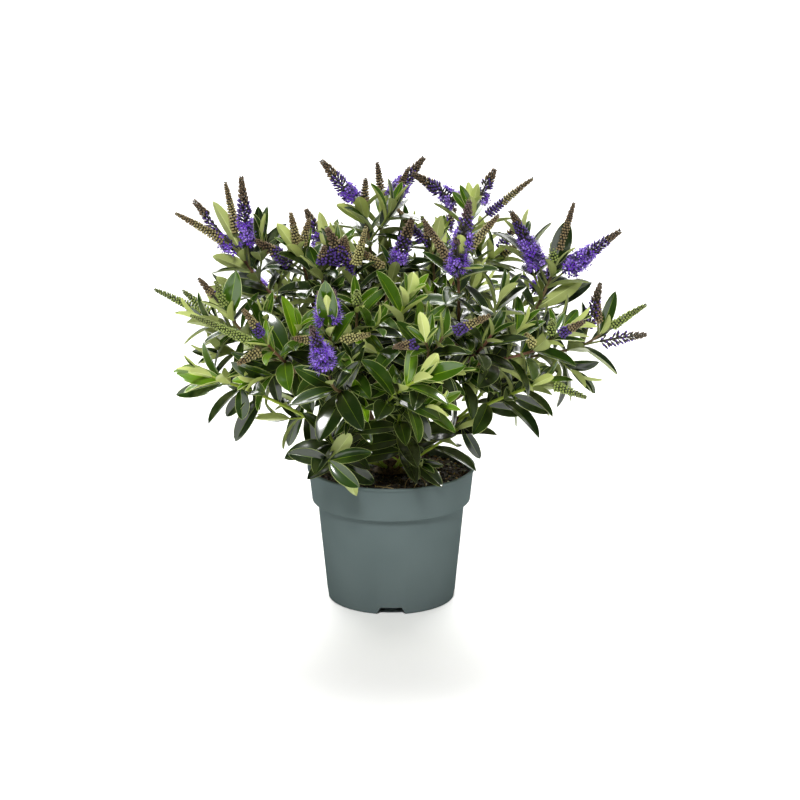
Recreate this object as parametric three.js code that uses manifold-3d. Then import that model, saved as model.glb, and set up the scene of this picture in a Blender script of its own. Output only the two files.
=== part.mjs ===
// A hebe shrub in its plastic nursery pot, modelled in millimetres with +Z up.
// The origin is on the pot's axis, at the middle of its flat underside. +X is the shrub's right as it is
// seen from the front, and -Y is its front.
//
// The shrub stands on the soil on one short stool. Boughs leave the stool, and each bough's tip carries
// the stems of a few masses: leafy shoots with flower spikes. Every mass is one solid that grows by the
// same seeded rule, with paired leaves set crosswise, and keeps 0.3 mm clear of all that isn't its own.

import * as THREE from "three";
import { mergeVertices } from "three/addons/utils/BufferGeometryUtils.js";
import Module from "manifold-3d";

const wasm = await Module();
wasm.setup();

// ---- Driving dimensions -------------------------------------------------------------------------

const GAP = 0.3; // what touching solids keep between them
const SMOOTHING = 0.05; // the finest detail a fused mass keeps

const POT = {
  height: 138.5,
  footRadius: 64.9,
  footChamfer: 2,
  collarBottom: 103.3,
  collarBottomRadius: 80.3,
  collarTopRadius: 83.7,
  wallRadiusAtCollar: 74.8,
  lipRadius: 85.2,
  lipHeight: 3,
  wall: 1.5,
  floor: 1.8,
  sides: 36,
};
const CHANNEL = { count: 4, height: 7.5, topWidth: 21.4, bottomWidth: 29.6, innerRadius: 30 };
const BEYOND = 10; // how far a cut runs past the skin that it opens

const SOIL = { level: 132, edgeDrop: 3, flatRadius: 24, sides: 24 };

const STOOL = {
  height: 30,
  flareRadius: 17,
  flareHeight: 7,
  neckRadius: 11.5,
  topRadius: 12.5,
  leanX: -2.5,
  leanY: 1.5,
  sides: 12,
};

// A bough ends this share of the way to the middle of its masses' tips, turning this much to face it.
const BOUGH = { footRadius: 3.5, tipRadius: 2.7, sides: 5, steps: 5, share: 0.5, facing: 0.75 };
const STEM = { footRadius: 2.3, tipRadius: 1.5, sides: 3, steps: 4, leafyShare: 0.8 };

// Side shoots: highest and gap are shares of the stem's length, splay and turn are degrees, and rising is
// how much of its splay a sprig's tip loses.
const SPRIG = {
  length: 58,
  footRadius: 1.5,
  tipRadius: 1.2,
  steps: 1,
  pairs: 2,
  highest: 0.7,
  gap: 0.22,
  splay: 45,
  rising: 0.35,
  turn: 137.5,
};

// A leaf is widest at this share of its length; fold lifts its edges there, and sag drops its tip.
const LEAF = { length: 62, width: 26, thickness: 1.5, fold: 2.4, sag: 3, widest: 0.48 };
const LEAF_SIZE = { youngest: 0.66, growing: 0.17 }; // of the full leaf, and for each pair further down
const LEAF_ANGLE = { spiked: 34, bare: 20, ageing: 11, oldest: 66 }; // from the stem, in degrees
const PAIR_GAP = { spiked: 24, bare: 17 }; // between pairs of leaves, with and without spikes above them
const FIRST_PAIR = 0.15; // of a gap, from the stem's tip to its youngest pair

// A flower spike: profile gives shares of its length with shares of its radius, and droop is how far its
// tip sinks as a share of its length. It is at its full bloomRadius from fullBloom of its flowers open.
// The first two spikes spring highest below the stem's tip, and each later two pairGap lower.
const SPIKE = {
  stalkRadius: 1.2,
  budRadius: 5.4,
  bloomRadius: 12,
  fullBloom: 0.67,
  profile: [[0.28, 0.9], [0.46, 1]],
  budProfile: [0.86, 0.75],
  sides: 4,
  arch: 0.55,
  droop: 0.06,
  highest: 3,
  pairGap: 18,
};

// What chance may add or take away: degrees, then shares of a leaf's size and a sprig's place and length.
const SPREAD = { roll: 34, turn: 14, angle: 9, nod: 10, leaf: 0.12, sprigPlace: 0.05, sprigLength: 0.15 };

// ---- The plant's frame: boughs on the stool, masses on the boughs -------------------------------

// Where limbs leave the stool: the height above the soil, the distance from the stool's axis and the
// degrees by which a limb rises there.
const TIERS = {
  base: { height: 5, radius: 8, rise: 30 },
  low: { height: 14, radius: 7, rise: 45 },
  high: { height: 24, radius: 8, rise: 62 },
  crown: { height: 26, radius: 1, rise: 84 },
};

// foot is where a bough leaves the stool, in degrees round it from +X.
const BOUGHS = {
  bough_left_upper: { foot: 180, tier: "high" },
  bough_left: { foot: 236, tier: "high" },
  bough_left_low: { foot: 200, tier: "low" },
  bough_front_left: { foot: 250, tier: "low" },
  bough_front_right: { foot: 290, tier: "low" },
  bough_middle: { foot: 250, tier: "crown" },
  bough_top_left: { foot: 122, tier: "high" },
  bough_top_right: { foot: 60, tier: "high" },
  bough_right_upper: { foot: 2, tier: "high" },
  bough_right: { foot: 304, tier: "high" },
  bough_right_low: { foot: 338, tier: "low" },
  bough_back_left: { foot: 145, tier: "low" },
  bough_back_right: { foot: 35, tier: "low" },
};

// tip is where a mass's leafy stem ends. lean and nod are the way it points there: degrees from upright
// towards +X, and degrees towards the front. spikes gives each flower spike's lean, its length and the
// share of it in bloom, from the top of the stem down, two by two. A mass with a foot has no bough, and
// leaves the stool's base there.
const MASSES = [
  { name: "mass_upper_left", bough: "bough_left_upper", tip: [-149, -10, 363], lean: -19, nod: 5, sprigs: 2,
    spikes: [[-54, 78, 0], [-12, 72, 0], [-37, 88, 0.65], [-4, 92, 0.6]] },
  { name: "mass_left_inner", bough: "bough_left_upper", tip: [-91, -22, 362], lean: -23, nod: 5, sprigs: 1,
    spikes: [[-10, 46, 0], [14, 40, 0], [-52, 60, 0.34]] },
  { name: "mass_far_left", bough: "bough_left", tip: [-174, 10, 286], lean: -50, nod: 0, sprigs: 0,
    spikes: [[-48, 50, 0], [-62, 76, 0]] },
  { name: "mass_left_fan", bough: "bough_left", tip: [-160, -55, 311], lean: -28, nod: 15, sprigs: 1,
    spikes: [[-17, 40, 0], [-33, 52, 0.1]] },
  { name: "mass_left_mid", bough: "bough_left", tip: [-119, -90, 287], lean: -35, nod: 25, sprigs: 1,
    spikes: [[-30, 48, 0.1], [-112, 34, 0], [-56, 104, 0]] },
  { name: "mass_left_low", bough: "bough_left_low", tip: [-184, -60, 250], lean: -66, nod: 10, sprigs: 0,
    spikes: [] },
  { name: "mass_left_under", bough: "bough_left_low", tip: [-96, 10, 204], lean: -110, nod: 0, sprigs: 1,
    spikes: [] },
  { name: "mass_front_bloom", bough: "bough_front_left", tip: [-58, -150, 272], lean: -8, nod: 20, sprigs: 0,
    spikes: [[-16, 60, 0.9]] },
  { name: "mass_front_leaf", bough: "bough_front_left", tip: [-59, -116, 312], lean: 0, nod: 15, sprigs: 0,
    spikes: [[-12, 40, 0.85], [6, 38, 0.85], [-75, 38, 0], [67, 42, 0]] },
  { name: "mass_front_bud", bough: "bough_front_left", tip: [-32, -96, 328], lean: 5, nod: 45, sprigs: 0,
    spikes: [[0, 22, 0]] },
  { name: "mass_front_bright", bough: "bough_front_right", tip: [16, -108, 336], lean: 30, nod: 25, sprigs: 0,
    spikes: [] },
  { name: "mass_front_pale", bough: "bough_front_right", tip: [33, -140, 302], lean: -20, nod: 35, sprigs: 0,
    spikes: [[-80, 38, 0.1]] },
  { name: "mass_front_right", bough: "bough_front_right", tip: [50, -122, 303], lean: 25, nod: 20, sprigs: 0,
    spikes: [[56, 56, 0.15]] },
  { name: "mass_front_low_right", foot: 246, tip: [29, -155, 270], lean: 58, nod: 28, sprigs: 1, spikes: [] },
  { name: "mass_middle_left", bough: "bough_middle", tip: [-71, -40, 350], lean: -14, nod: 8, sprigs: 0,
    spikes: [[35, 44, 0.34], [12, 28, 0.1]] },
  { name: "mass_middle", bough: "bough_middle", tip: [-38, -42, 344], lean: -2, nod: 12, sprigs: 0,
    spikes: [[-24, 58, 0.34], [14, 60, 0], [-8, 62, 0.1]] },
  { name: "mass_middle_right", bough: "bough_middle", tip: [2, -30, 344], lean: 8, nod: 12, sprigs: 0,
    spikes: [[18, 60, 0.4], [-46, 46, 0]] },
  { name: "mass_top_left", bough: "bough_top_left", tip: [-28, 36, 394], lean: -14, nod: -6, sprigs: 1,
    spikes: [[-37, 68, 0.45], [3, 34, 0]] },
  { name: "mass_top_centre", bough: "bough_top_left", tip: [-8, 72, 390], lean: 6, nod: -10, sprigs: 0,
    spikes: [[37, 67, 0.6], [-7, 48, 0], [24, 68, 0]] },
  { name: "mass_top_mid", bough: "bough_top_right", tip: [41, 14, 356], lean: -6, nod: 5, sprigs: 0,
    spikes: [[-36, 58, 0.1], [-12, 34, 0.1]] },
  { name: "mass_top_right", bough: "bough_top_right", tip: [81, 50, 392], lean: 0, nod: -8, sprigs: 0,
    spikes: [[28, 48, 0.6], [-56, 72, 0.5], [49, 84, 0.1]] },
  { name: "mass_top_behind", bough: "bough_top_right", tip: [104, 62, 340], lean: 20, nod: -12, sprigs: 1,
    spikes: [[60, 36, 0], [34, 48, 0.2]] },
  { name: "mass_right_bloom", bough: "bough_right", tip: [66, -78, 370], lean: 3, nod: 15, sprigs: 0,
    spikes: [[8, 64, 0.5], [38, 60, 0], [-3, 46, 0.9], [-29, 72, 0]] },
  { name: "mass_right_front", bough: "bough_right", tip: [97, -103, 300], lean: 26, nod: 25, sprigs: 1,
    spikes: [] },
  { name: "mass_right_mid", bough: "bough_right", tip: [157, -80, 291], lean: 38, nod: 15, sprigs: 1,
    spikes: [[52, 42, 0.1], [2, 24, 0], [-30, 22, 0]] },
  { name: "mass_right_upper", bough: "bough_right_upper", tip: [163, 0, 345], lean: 16, nod: 0, sprigs: 1,
    spikes: [[15, 70, 0], [-5, 26, 0], [-26, 84, 0.85], [49, 92, 0.8]] },
  { name: "mass_far_right", bough: "bough_right_upper", tip: [210, 0, 275], lean: 45, nod: 5, sprigs: 0,
    spikes: [[50, 60, 0], [-4, 50, 0], [74, 64, 0.5], [12, 70, 0.4]] },
  { name: "mass_right_low", bough: "bough_right_low", tip: [150, -58, 242], lean: 62, nod: 8, sprigs: 0,
    spikes: [[102, 46, 0]] },
  { name: "mass_right_under", bough: "bough_right_low", tip: [114, -8, 234], lean: 70, nod: 0, sprigs: 1,
    spikes: [] },
  { name: "mass_back_left", bough: "bough_back_left", tip: [-128, 104, 286], lean: -34, nod: -34, sprigs: 1,
    spikes: [[-40, 60, 0.4], [10, 45, 0]] },
  { name: "mass_back_top_left", bough: "bough_back_left", tip: [-66, 112, 328], lean: -14, nod: -26,
    sprigs: 1, spikes: [[-24, 58, 0.5], [20, 42, 0]] },
  { name: "mass_back_low_left", bough: "bough_back_left", tip: [-84, 150, 224], lean: -30, nod: -60,
    sprigs: 1, spikes: [] },
  { name: "mass_back_middle", bough: "bough_back_right", tip: [6, 176, 278], lean: 4, nod: -48, sprigs: 1,
    spikes: [[-20, 60, 0.5], [24, 46, 0.1]] },
  { name: "mass_back_top_right", bough: "bough_back_right", tip: [44, 124, 330], lean: 10, nod: -26,
    sprigs: 1, spikes: [[26, 60, 0.5], [-16, 44, 0]] },
  { name: "mass_back_right", bough: "bough_back_right", tip: [140, 96, 288], lean: 36, nod: -32, sprigs: 1,
    spikes: [[44, 60, 0.4]] },
  { name: "mass_back_low_right", bough: "bough_back_right", tip: [98, 146, 220], lean: 34, nod: -58,
    sprigs: 1, spikes: [] },
  { name: "mass_foot_left", foot: 208, tip: [-60, -88, 206], lean: 0, nod: 20, sprigs: 0, spikes: [] },
  { name: "mass_foot_front", foot: 228, tip: [-60, -104, 174], lean: -8, nod: 66, sprigs: 0, spikes: [] },
  { name: "mass_foot_middle", foot: 292, tip: [10, -122, 236], lean: 10, nod: 40, sprigs: 0, spikes: [] },
  { name: "mass_foot_right", foot: 322, tip: [74, -30, 190], lean: 50, nod: 0, sprigs: 0, spikes: [] },
];

// ---- Seeded chance ------------------------------------------------------------------------------

const SEED = 601;

// A number from 0 to 1 that depends only on its three whole-number keys, so that finer growth added
// elsewhere never changes what is drawn here.
function chance(a, b, c) {
  let h = Math.imul(a + SEED, 0x9e3779b1) ^ Math.imul(b + 1, 0x85ebca6b) ^ Math.imul(c + 1, 0xc2b2ae35);
  h = Math.imul(h ^ (h >>> 15), 0x2c1b3c6d);
  h = Math.imul(h ^ (h >>> 12), 0x297a2d39);
  return ((h ^ (h >>> 15)) >>> 0) / 2 ** 32;
}

const spread = (size, ...keys) => size * (2 * chance(...keys) - 1);

// ---- Directions and curves ----------------------------------------------------------------------

const radians = THREE.MathUtils.degToRad;
const BEND = 0.35; // how much of its reach a curve keeps to its first and last direction
const vector = (x, y, z) => new THREE.Vector3(x, y, z);
const mix = (a, b, share) => a.clone().lerp(b, share);
const along = (point, direction, distance) => point.clone().addScaledVector(direction, distance);

function pointing(lean, nod) {
  const [l, n] = [radians(lean), radians(nod)];
  return vector(Math.sin(l) * Math.cos(n), -Math.sin(n), Math.cos(l) * Math.cos(n));
}

function roundTheStool(turn, rise) {
  const [t, r] = [radians(turn), radians(rise)];
  return vector(Math.cos(t) * Math.cos(r), Math.sin(t) * Math.cos(r), Math.sin(r));
}

function bend(start, startWay, end, endWay) {
  const reach = start.distanceTo(end);
  return new THREE.CubicBezierCurve3(
    start,
    along(start, startWay, BEND * reach),
    along(end, endWay, -BEND * reach),
    end,
  );
}

// Two directions square to a tangent: side lies as nearly as it can in the frontal plane.
function squareTo(tangent) {
  const side = vector(0, -1, 0).cross(tangent);
  const tangentIsFrontal = side.length() < 0.2;
  if (tangentIsFrontal) side.copy(vector(1, 0, 0)).addScaledVector(tangent, -tangent.x);
  side.normalize();
  return { side, front: tangent.clone().cross(side).normalize() };
}

// ---- Solids -------------------------------------------------------------------------------------

function solidOf(corners, triangles) {
  return new wasm.Manifold(new wasm.Mesh({
    numProp: 3,
    vertProperties: new Float32Array(corners.flatMap((c) => [c.x, c.y, c.z])),
    triVerts: new Uint32Array(triangles.flat()),
  }));
}

function solidOfGeometry(geometry) {
  const bare = geometry.clone();
  bare.deleteAttribute("normal");
  bare.deleteAttribute("uv");
  const merged = mergeVertices(bare, 1e-3);
  return new wasm.Manifold(new wasm.Mesh({
    numProp: 3,
    vertProperties: merged.attributes.position.array,
    triVerts: new Uint32Array(merged.index.array),
  }));
}

// A closed skin over rings of corners, each end closed by a fan from one point.
function loft(rings, first, last) {
  const sides = rings[0].length;
  const corners = [...rings.flat(), first, last];
  const [start, end] = [corners.length - 2, corners.length - 1];
  const top = (rings.length - 1) * sides;
  const triangles = [];
  for (let i = 0; i < sides; i++) {
    const next = (i + 1) % sides;
    triangles.push([start, next, i], [end, top + i, top + next]);
    for (let ring = 0; ring < top; ring += sides) {
      const [a, b, c, d] = [ring + i, ring + next, ring + sides + next, ring + sides + i];
      triangles.push([a, b, c], [a, c, d]);
    }
  }
  return solidOf(corners, triangles);
}

// A tapering limb along a curve, with a flat cut at each end.
function limb(curve, footRadius, tipRadius, sides, steps) {
  const rings = [];
  for (let step = 0; step <= steps; step++) {
    const share = step / steps;
    const centre = curve.getPoint(share);
    const { side, front } = squareTo(curve.getTangent(share));
    const radius = THREE.MathUtils.lerp(footRadius, tipRadius, share);
    rings.push(Array.from({ length: sides }, (_, i) => {
      const turn = (2 * Math.PI * i) / sides;
      return along(along(centre, side, radius * Math.cos(turn)), front, radius * Math.sin(turn));
    }));
  }
  return loft(rings, curve.getPoint(0), curve.getPoint(1));
}

// A thin leaf folded along its midrib: an outline of four corners with a keel above and below.
function leafSolid(foot, way, upper, length, width) {
  const across = way.clone().cross(upper).normalize();
  const at = (share, sideways, lift) =>
    along(along(along(foot, way, share * length), across, sideways), upper, lift);
  const widest = LEAF.widest;
  const corners = [
    at(0, 0, 0),
    at(widest, width / 2, LEAF.fold),
    at(1, 0, -LEAF.sag),
    at(widest, -width / 2, LEAF.fold),
    at(widest, 0, LEAF.thickness / 2),
    at(widest, 0, -LEAF.thickness / 2),
  ];
  const [base, right, tip, left, top, keel] = [0, 1, 2, 3, 4, 5];
  return solidOf(corners, [
    [top, base, right], [top, right, tip], [top, tip, left], [top, left, base],
    [keel, right, base], [keel, tip, right], [keel, left, tip], [keel, base, left],
  ]);
}

// A flower spike on its thin stalk: stout where it blooms, tapering through closed buds to its tip.
function spikeSolid(foot, way, length, bloom) {
  const end = along(foot, way, length);
  end.z -= SPIKE.droop * length * Math.hypot(way.x, way.y);
  const axis = new THREE.QuadraticBezierCurve3(foot, along(foot, way, SPIKE.arch * length), end);
  const open = Math.min(1, bloom / SPIKE.fullBloom);
  const stout = THREE.MathUtils.lerp(SPIKE.budRadius, SPIKE.bloomRadius, open);
  const [narrow, narrowRadius] = SPIKE.budProfile;
  const profile = [
    [0, SPIKE.stalkRadius],
    ...SPIKE.profile.map(([share, radius]) => [share, radius * stout]),
    [narrow, narrowRadius * SPIKE.budRadius],
  ];
  const rings = profile.map(([share, radius]) => {
    const centre = axis.getPoint(share);
    const { side, front } = squareTo(axis.getTangent(share));
    return Array.from({ length: SPIKE.sides }, (_, i) => {
      const turn = (2 * Math.PI * i) / SPIKE.sides;
      return along(along(centre, side, radius * Math.cos(turn)), front, radius * Math.sin(turn));
    });
  });
  return loft(rings, foot, end);
}

// ---- Pot and soil -------------------------------------------------------------------------------

function turned(profile, sides) {
  const points = profile.map(([radius, height]) => new THREE.Vector2(radius, height));
  return solidOfGeometry(new THREE.LatheGeometry(points, sides).rotateX(Math.PI / 2));
}

// One drainage channel under the pot, from outside the wall to the flat middle of the underside.
function channel(grow) {
  const bottom = CHANNEL.bottomWidth / 2 + grow;
  const top = CHANNEL.topWidth / 2 + grow;
  const roof = CHANNEL.height + grow;
  const section = new THREE.Shape([
    new THREE.Vector2(-bottom, -BEYOND),
    new THREE.Vector2(bottom, -BEYOND),
    new THREE.Vector2(bottom, 0),
    new THREE.Vector2(top, roof),
    new THREE.Vector2(-top, roof),
    new THREE.Vector2(-bottom, 0),
  ]);
  const start = CHANNEL.innerRadius - grow;
  const depth = POT.footRadius + BEYOND - start;
  return new THREE.ExtrudeGeometry(section, { depth, bevelEnabled: false })
    .rotateX(Math.PI / 2)
    .translate(0, -start, 0);
}

function channels(grow) {
  const cuts = [];
  for (let i = 0; i < CHANNEL.count; i++)
    cuts.push(solidOfGeometry(channel(grow).rotateZ((2 * Math.PI * i) / CHANNEL.count)));
  return wasm.Manifold.union(cuts);
}

function wallRadius(height) {
  return THREE.MathUtils.mapLinear(height, 0, POT.collarBottom, POT.footRadius, POT.wallRadiusAtCollar);
}

function potSolid() {
  const outside = turned([
    [0, 0],
    [POT.footRadius - POT.footChamfer, 0],
    [wallRadius(POT.footChamfer), POT.footChamfer],
    [POT.wallRadiusAtCollar, POT.collarBottom],
    [POT.collarBottomRadius, POT.collarBottom],
    [POT.collarTopRadius, POT.height - POT.lipHeight],
    [POT.lipRadius, POT.height - POT.lipHeight],
    [POT.lipRadius, POT.height],
    [0, POT.height],
  ], POT.sides);
  return outside.subtract(hollow(0)).subtract(channels(0));
}

// The pot's inside, less the roofs of the drainage channels, drawn in by shrink on every side.
function hollow(shrink) {
  const { wall, floor } = POT;
  const shelf = POT.collarBottom + wall;
  const inside = turned([
    [0, floor + shrink],
    [wallRadius(floor) - wall - shrink, floor + shrink],
    [wallRadius(shelf) - wall - shrink, shelf + shrink],
    [POT.collarBottomRadius - wall - shrink, shelf + shrink],
    [POT.collarTopRadius - wall - shrink, POT.height + BEYOND],
    [0, POT.height + BEYOND],
  ], POT.sides);
  return inside.subtract(channels(floor + shrink));
}

function soilSolid() {
  const top = turned([
    [0, POT.floor],
    [POT.lipRadius, POT.floor],
    [POT.lipRadius, SOIL.level - SOIL.edgeDrop],
    [SOIL.flatRadius, SOIL.level],
    [0, SOIL.level],
  ], SOIL.sides);
  return hollow(GAP).intersect(top);
}

// ---- Stool and boughs ---------------------------------------------------------------------------

function stoolSolid(grow) {
  const foot = SOIL.level + GAP - grow;
  const profile = [
    [0, 0],
    [STOOL.flareRadius, 0],
    [0.5 * (STOOL.flareRadius + STOOL.neckRadius), 0.35 * STOOL.flareHeight],
    [STOOL.neckRadius, STOOL.flareHeight],
    [STOOL.topRadius, 0.8 * STOOL.height],
    [0.75 * STOOL.topRadius, STOOL.height],
    [0, STOOL.height],
  ].map(([radius, height]) => [radius && radius + grow, foot + height + (height ? 2 * grow : 0)]);
  const straight = turned(profile, STOOL.sides);
  return straight.warp((corner) => {
    const share = (corner[2] - foot) / STOOL.height;
    corner[0] += STOOL.leanX * share;
    corner[1] += STOOL.leanY * share;
  });
}

// Where a limb leaves the stool: a point inside its skin, so that the stool's own shape cuts the limb.
function stoolExit(turn, tier) {
  const { height, radius, rise } = TIERS[tier];
  const share = height / STOOL.height;
  const axis = vector(STOOL.leanX * share, STOOL.leanY * share, SOIL.level + height);
  return { point: along(axis, roundTheStool(turn, 0), radius), way: roundTheStool(turn, rise) };
}

function boughCurve(name) {
  const { foot, tier } = BOUGHS[name];
  const { point, way } = stoolExit(foot, tier);
  const tips = MASSES.filter((mass) => mass.bough === name).map((mass) => vector(...mass.tip));
  const middle = tips.reduce((sum, tip) => sum.add(tip), vector(0, 0, 0)).divideScalar(tips.length);
  const end = mix(point, middle, BOUGH.share);
  const endWay = middle.clone().sub(end).normalize();
  return bend(point, way, end, mix(way, endWay, BOUGH.facing).normalize());
}

// The masses on one bough start side by side round its tip, each on the side that it grows to.
function forkStarts(curve, masses) {
  const centre = curve.getPoint(1);
  const way = curve.getTangent(1);
  const { side, front } = squareTo(way);
  const turnOf = (mass) => {
    const towards = vector(...mass.tip).sub(centre);
    return Math.atan2(towards.dot(front), towards.dot(side));
  };
  const ordered = [...masses].sort((a, b) => turnOf(a) - turnOf(b));
  const slot = (2 * Math.PI) / ordered.length;
  const drift = ordered.map((mass, i) => turnOf(mass) - i * slot);
  const phase = Math.atan2(
    drift.reduce((sum, d) => sum + Math.sin(d), 0),
    drift.reduce((sum, d) => sum + Math.cos(d), 0),
  );
  const ring = (STEM.footRadius + GAP) / Math.sin(slot / 2);
  return new Map(ordered.map((mass, i) => {
    const turn = phase + i * slot;
    const point = along(centre, way, GAP);
    point.addScaledVector(side, ring * Math.cos(turn)).addScaledVector(front, ring * Math.sin(turn));
    return [mass.name, { point, way }];
  }));
}

// ---- Growth of a mass ---------------------------------------------------------------------------

// Paired leaves from a shoot's tip down, each pair set crosswise to the last.
function leafPairs(curve, pairs, kind, seed, shoot) {
  const length = curve.getLength();
  const roll = spread(radians(SPREAD.roll), seed, shoot, 1);
  const leaves = [];
  for (let pair = 0; pair < pairs; pair++) {
    const share = 1 - ((pair + FIRST_PAIR) * PAIR_GAP[kind]) / length;
    const foot = curve.getPointAt(share);
    const tangent = curve.getTangentAt(share);
    for (const half of [0, 1]) {
      const key = 20 * shoot + 2 * pair + half;
      const crosswise = (pair % 2) * (Math.PI / 2) + half * Math.PI;
      const turn = roll + crosswise + spread(radians(SPREAD.turn), seed, key, 2);
      const splay = Math.min(LEAF_ANGLE.oldest, LEAF_ANGLE[kind] + pair * LEAF_ANGLE.ageing);
      const angle = radians(splay + spread(SPREAD.angle, seed, key, 3));
      const grown = Math.min(1, LEAF_SIZE.youngest + LEAF_SIZE.growing * pair);
      const size = grown * (1 + spread(SPREAD.leaf, seed, key, 4));
      leaves.push({ foot, tangent, turn, angle, size, rank: pair });
    }
  }
  return leaves;
}

// The leaf, swung by the given turns about its stem and away from it.
function leafAt({ foot, tangent, turn, angle, size }, [aboutStem, awayFromStem]) {
  const { side, front } = squareTo(tangent);
  const [t, a] = [turn + aboutStem, angle + awayFromStem];
  const outward = side.multiplyScalar(Math.cos(t)).addScaledVector(front, Math.sin(t));
  const way = tangent.clone().multiplyScalar(Math.cos(a)).addScaledVector(outward, Math.sin(a));
  const upper = along(tangent, way, -tangent.dot(way)).normalize();
  const solid = leafSolid(foot, way, upper, LEAF.length * size, LEAF.width * size);
  const blade = solid.trimByPlane(way.toArray(), foot.dot(way) + BLADE_SHARE * LEAF.length * size);
  return { solid, blade };
}

// Sprigs leave the stem by turns.
function sprigCurves(stem, mass, seed) {
  const curves = [];
  for (let i = 0; i < mass.sprigs; i++) {
    const share = SPRIG.highest - SPRIG.gap * i + spread(SPREAD.sprigPlace, seed, i, 5);
    const foot = stem.getPointAt(share);
    const tangent = stem.getTangentAt(share);
    const { side, front } = squareTo(tangent);
    const turn = radians(SPRIG.turn) * i + 2 * Math.PI * chance(seed, i, 6);
    const outward = side.clone().multiplyScalar(Math.cos(turn)).addScaledVector(front, Math.sin(turn));
    const splay = radians(SPRIG.splay);
    const way = tangent.clone().multiplyScalar(Math.cos(splay)).addScaledVector(outward, Math.sin(splay));
    const end = along(foot, way, SPRIG.length * (1 + spread(SPREAD.sprigLength, seed, i, 7)));
    curves.push(bend(foot, way, end, mix(way, tangent, SPRIG.rising).normalize()));
  }
  return curves;
}

function growMass(mass, seed, start) {
  const stem = bend(start.point, start.way, vector(...mass.tip), pointing(mass.lean, mass.nod));
  const length = stem.getLength();
  const kind = mass.spikes.length ? "spiked" : "bare";
  const pairs = Math.floor((STEM.leafyShare * length) / PAIR_GAP[kind]);
  const main = {
    solid: limb(stem, STEM.footRadius, STEM.tipRadius, STEM.sides, STEM.steps),
    leaves: leafPairs(stem, pairs, kind, seed, 0),
  };
  const sprigs = sprigCurves(stem, mass, seed).map((curve, i) => ({
    solid: limb(curve, SPRIG.footRadius, SPRIG.tipRadius, STEM.sides, SPRIG.steps),
    leaves: leafPairs(curve, SPRIG.pairs, "bare", seed, i + 1),
  }));
  const spikes = mass.spikes.map(([lean, reach, bloom], i) => {
    const down = SPIKE.highest + SPIKE.pairGap * Math.floor(i / 2);
    const way = pointing(lean, mass.nod + spread(SPREAD.nod, seed, i, 8));
    return spikeSolid(stem.getPointAt(1 - down / length), way, reach, bloom);
  });
  return { name: mass.name, main, sprigs, spikes };
}

// ---- Keeping clear ------------------------------------------------------------------------------

const placed = [];

// A leaf that would meet something is swung by these turns in radians, about its stem and away from it,
// and left out if it meets something still. Its blade, beyond this share of it, misses its own mass too.
const SWINGS = [[0, 0], [0.35, 0.15], [-0.35, 0.15], [0, 0.4], [0.6, -0.1], [-0.6, -0.1], [0, -0.3]];
const BLADE_SHARE = 0.3;

function boxesMeet(a, b) {
  const [p, q] = [a.boundingBox(), b.boundingBox()];
  return [0, 1, 2].every((k) => p.min[k] - GAP < q.max[k] && q.min[k] - GAP < p.max[k]);
}

function isClear(solid, owner) {
  return placed.every((other) =>
    other.owner === owner || !boxesMeet(solid, other.solid) || solid.minGap(other.solid, 2 * GAP) >= GAP);
}

function missesOwn(blade, owner) {
  return placed.every((other) =>
    other.owner !== owner || !boxesMeet(blade, other.solid) || blade.minGap(other.solid, GAP) > 0);
}

function place(solid, owner) {
  placed.push({ solid, owner });
  return solid;
}

// ---- Assembly -----------------------------------------------------------------------------------

const FINISHES = {
  pot: { color: 0x66726f, roughness: 0.5 },
  soil: { color: 0x2a211a, roughness: 0.95 },
  wood: { color: 0x5b4632, roughness: 0.85 },
  leaf: { color: 0x3f6426, roughness: 0.4 },
};

const shrub = new THREE.Group();

function addMesh(name, solid, finish) {
  const { numProp, numVert, vertProperties, triVerts } = solid.getMesh();
  const positions = new Float32Array(3 * numVert);
  for (let i = 0; i < numVert; i++)
    positions.set(vertProperties.subarray(i * numProp, i * numProp + 3), 3 * i);
  const geometry = new THREE.BufferGeometry();
  geometry.setAttribute("position", new THREE.BufferAttribute(positions, 3));
  geometry.setIndex(new THREE.BufferAttribute(triVerts, 1));
  geometry.computeVertexNormals();
  const material = new THREE.MeshStandardMaterial({ ...finish, metalness: 0 });
  const mesh = new THREE.Mesh(geometry, material);
  mesh.name = name;
  shrub.add(mesh);
}

addMesh("pot", place(potSolid(), "pot"), FINISHES.pot);
addMesh("soil", place(soilSolid(), "soil"), FINISHES.soil);
addMesh("trunk", place(stoolSolid(0), "trunk"), FINISHES.wood);

const aroundStool = stoolSolid(GAP);
const starts = new Map();
for (const name of Object.keys(BOUGHS)) {
  const curve = boughCurve(name);
  const bough = limb(curve, BOUGH.footRadius, BOUGH.tipRadius, BOUGH.sides, BOUGH.steps);
  addMesh(name, place(bough.subtract(aroundStool), name), FINISHES.wood);
  for (const [mass, start] of forkStarts(curve, MASSES.filter((m) => m.bough === name)))
    starts.set(mass, start);
}
for (const mass of MASSES.filter((m) => !m.bough)) starts.set(mass.name, stoolExit(mass.foot, "base"));

// Every mass's stems and sprigs come first, then its spikes, then all leaves from the tips down.
const growths = MASSES.map((mass, seed) => growMass(mass, seed, starts.get(mass.name)));
for (const { name, main } of growths) place(main.solid.subtract(aroundStool), name);
for (const growth of growths) {
  growth.sprigs = growth.sprigs.filter((sprig) => isClear(sprig.solid, growth.name));
  for (const sprig of growth.sprigs) place(sprig.solid, growth.name);
}
for (const { name, spikes } of growths)
  for (const spike of spikes) if (isClear(spike, name)) place(spike, name);

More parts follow.
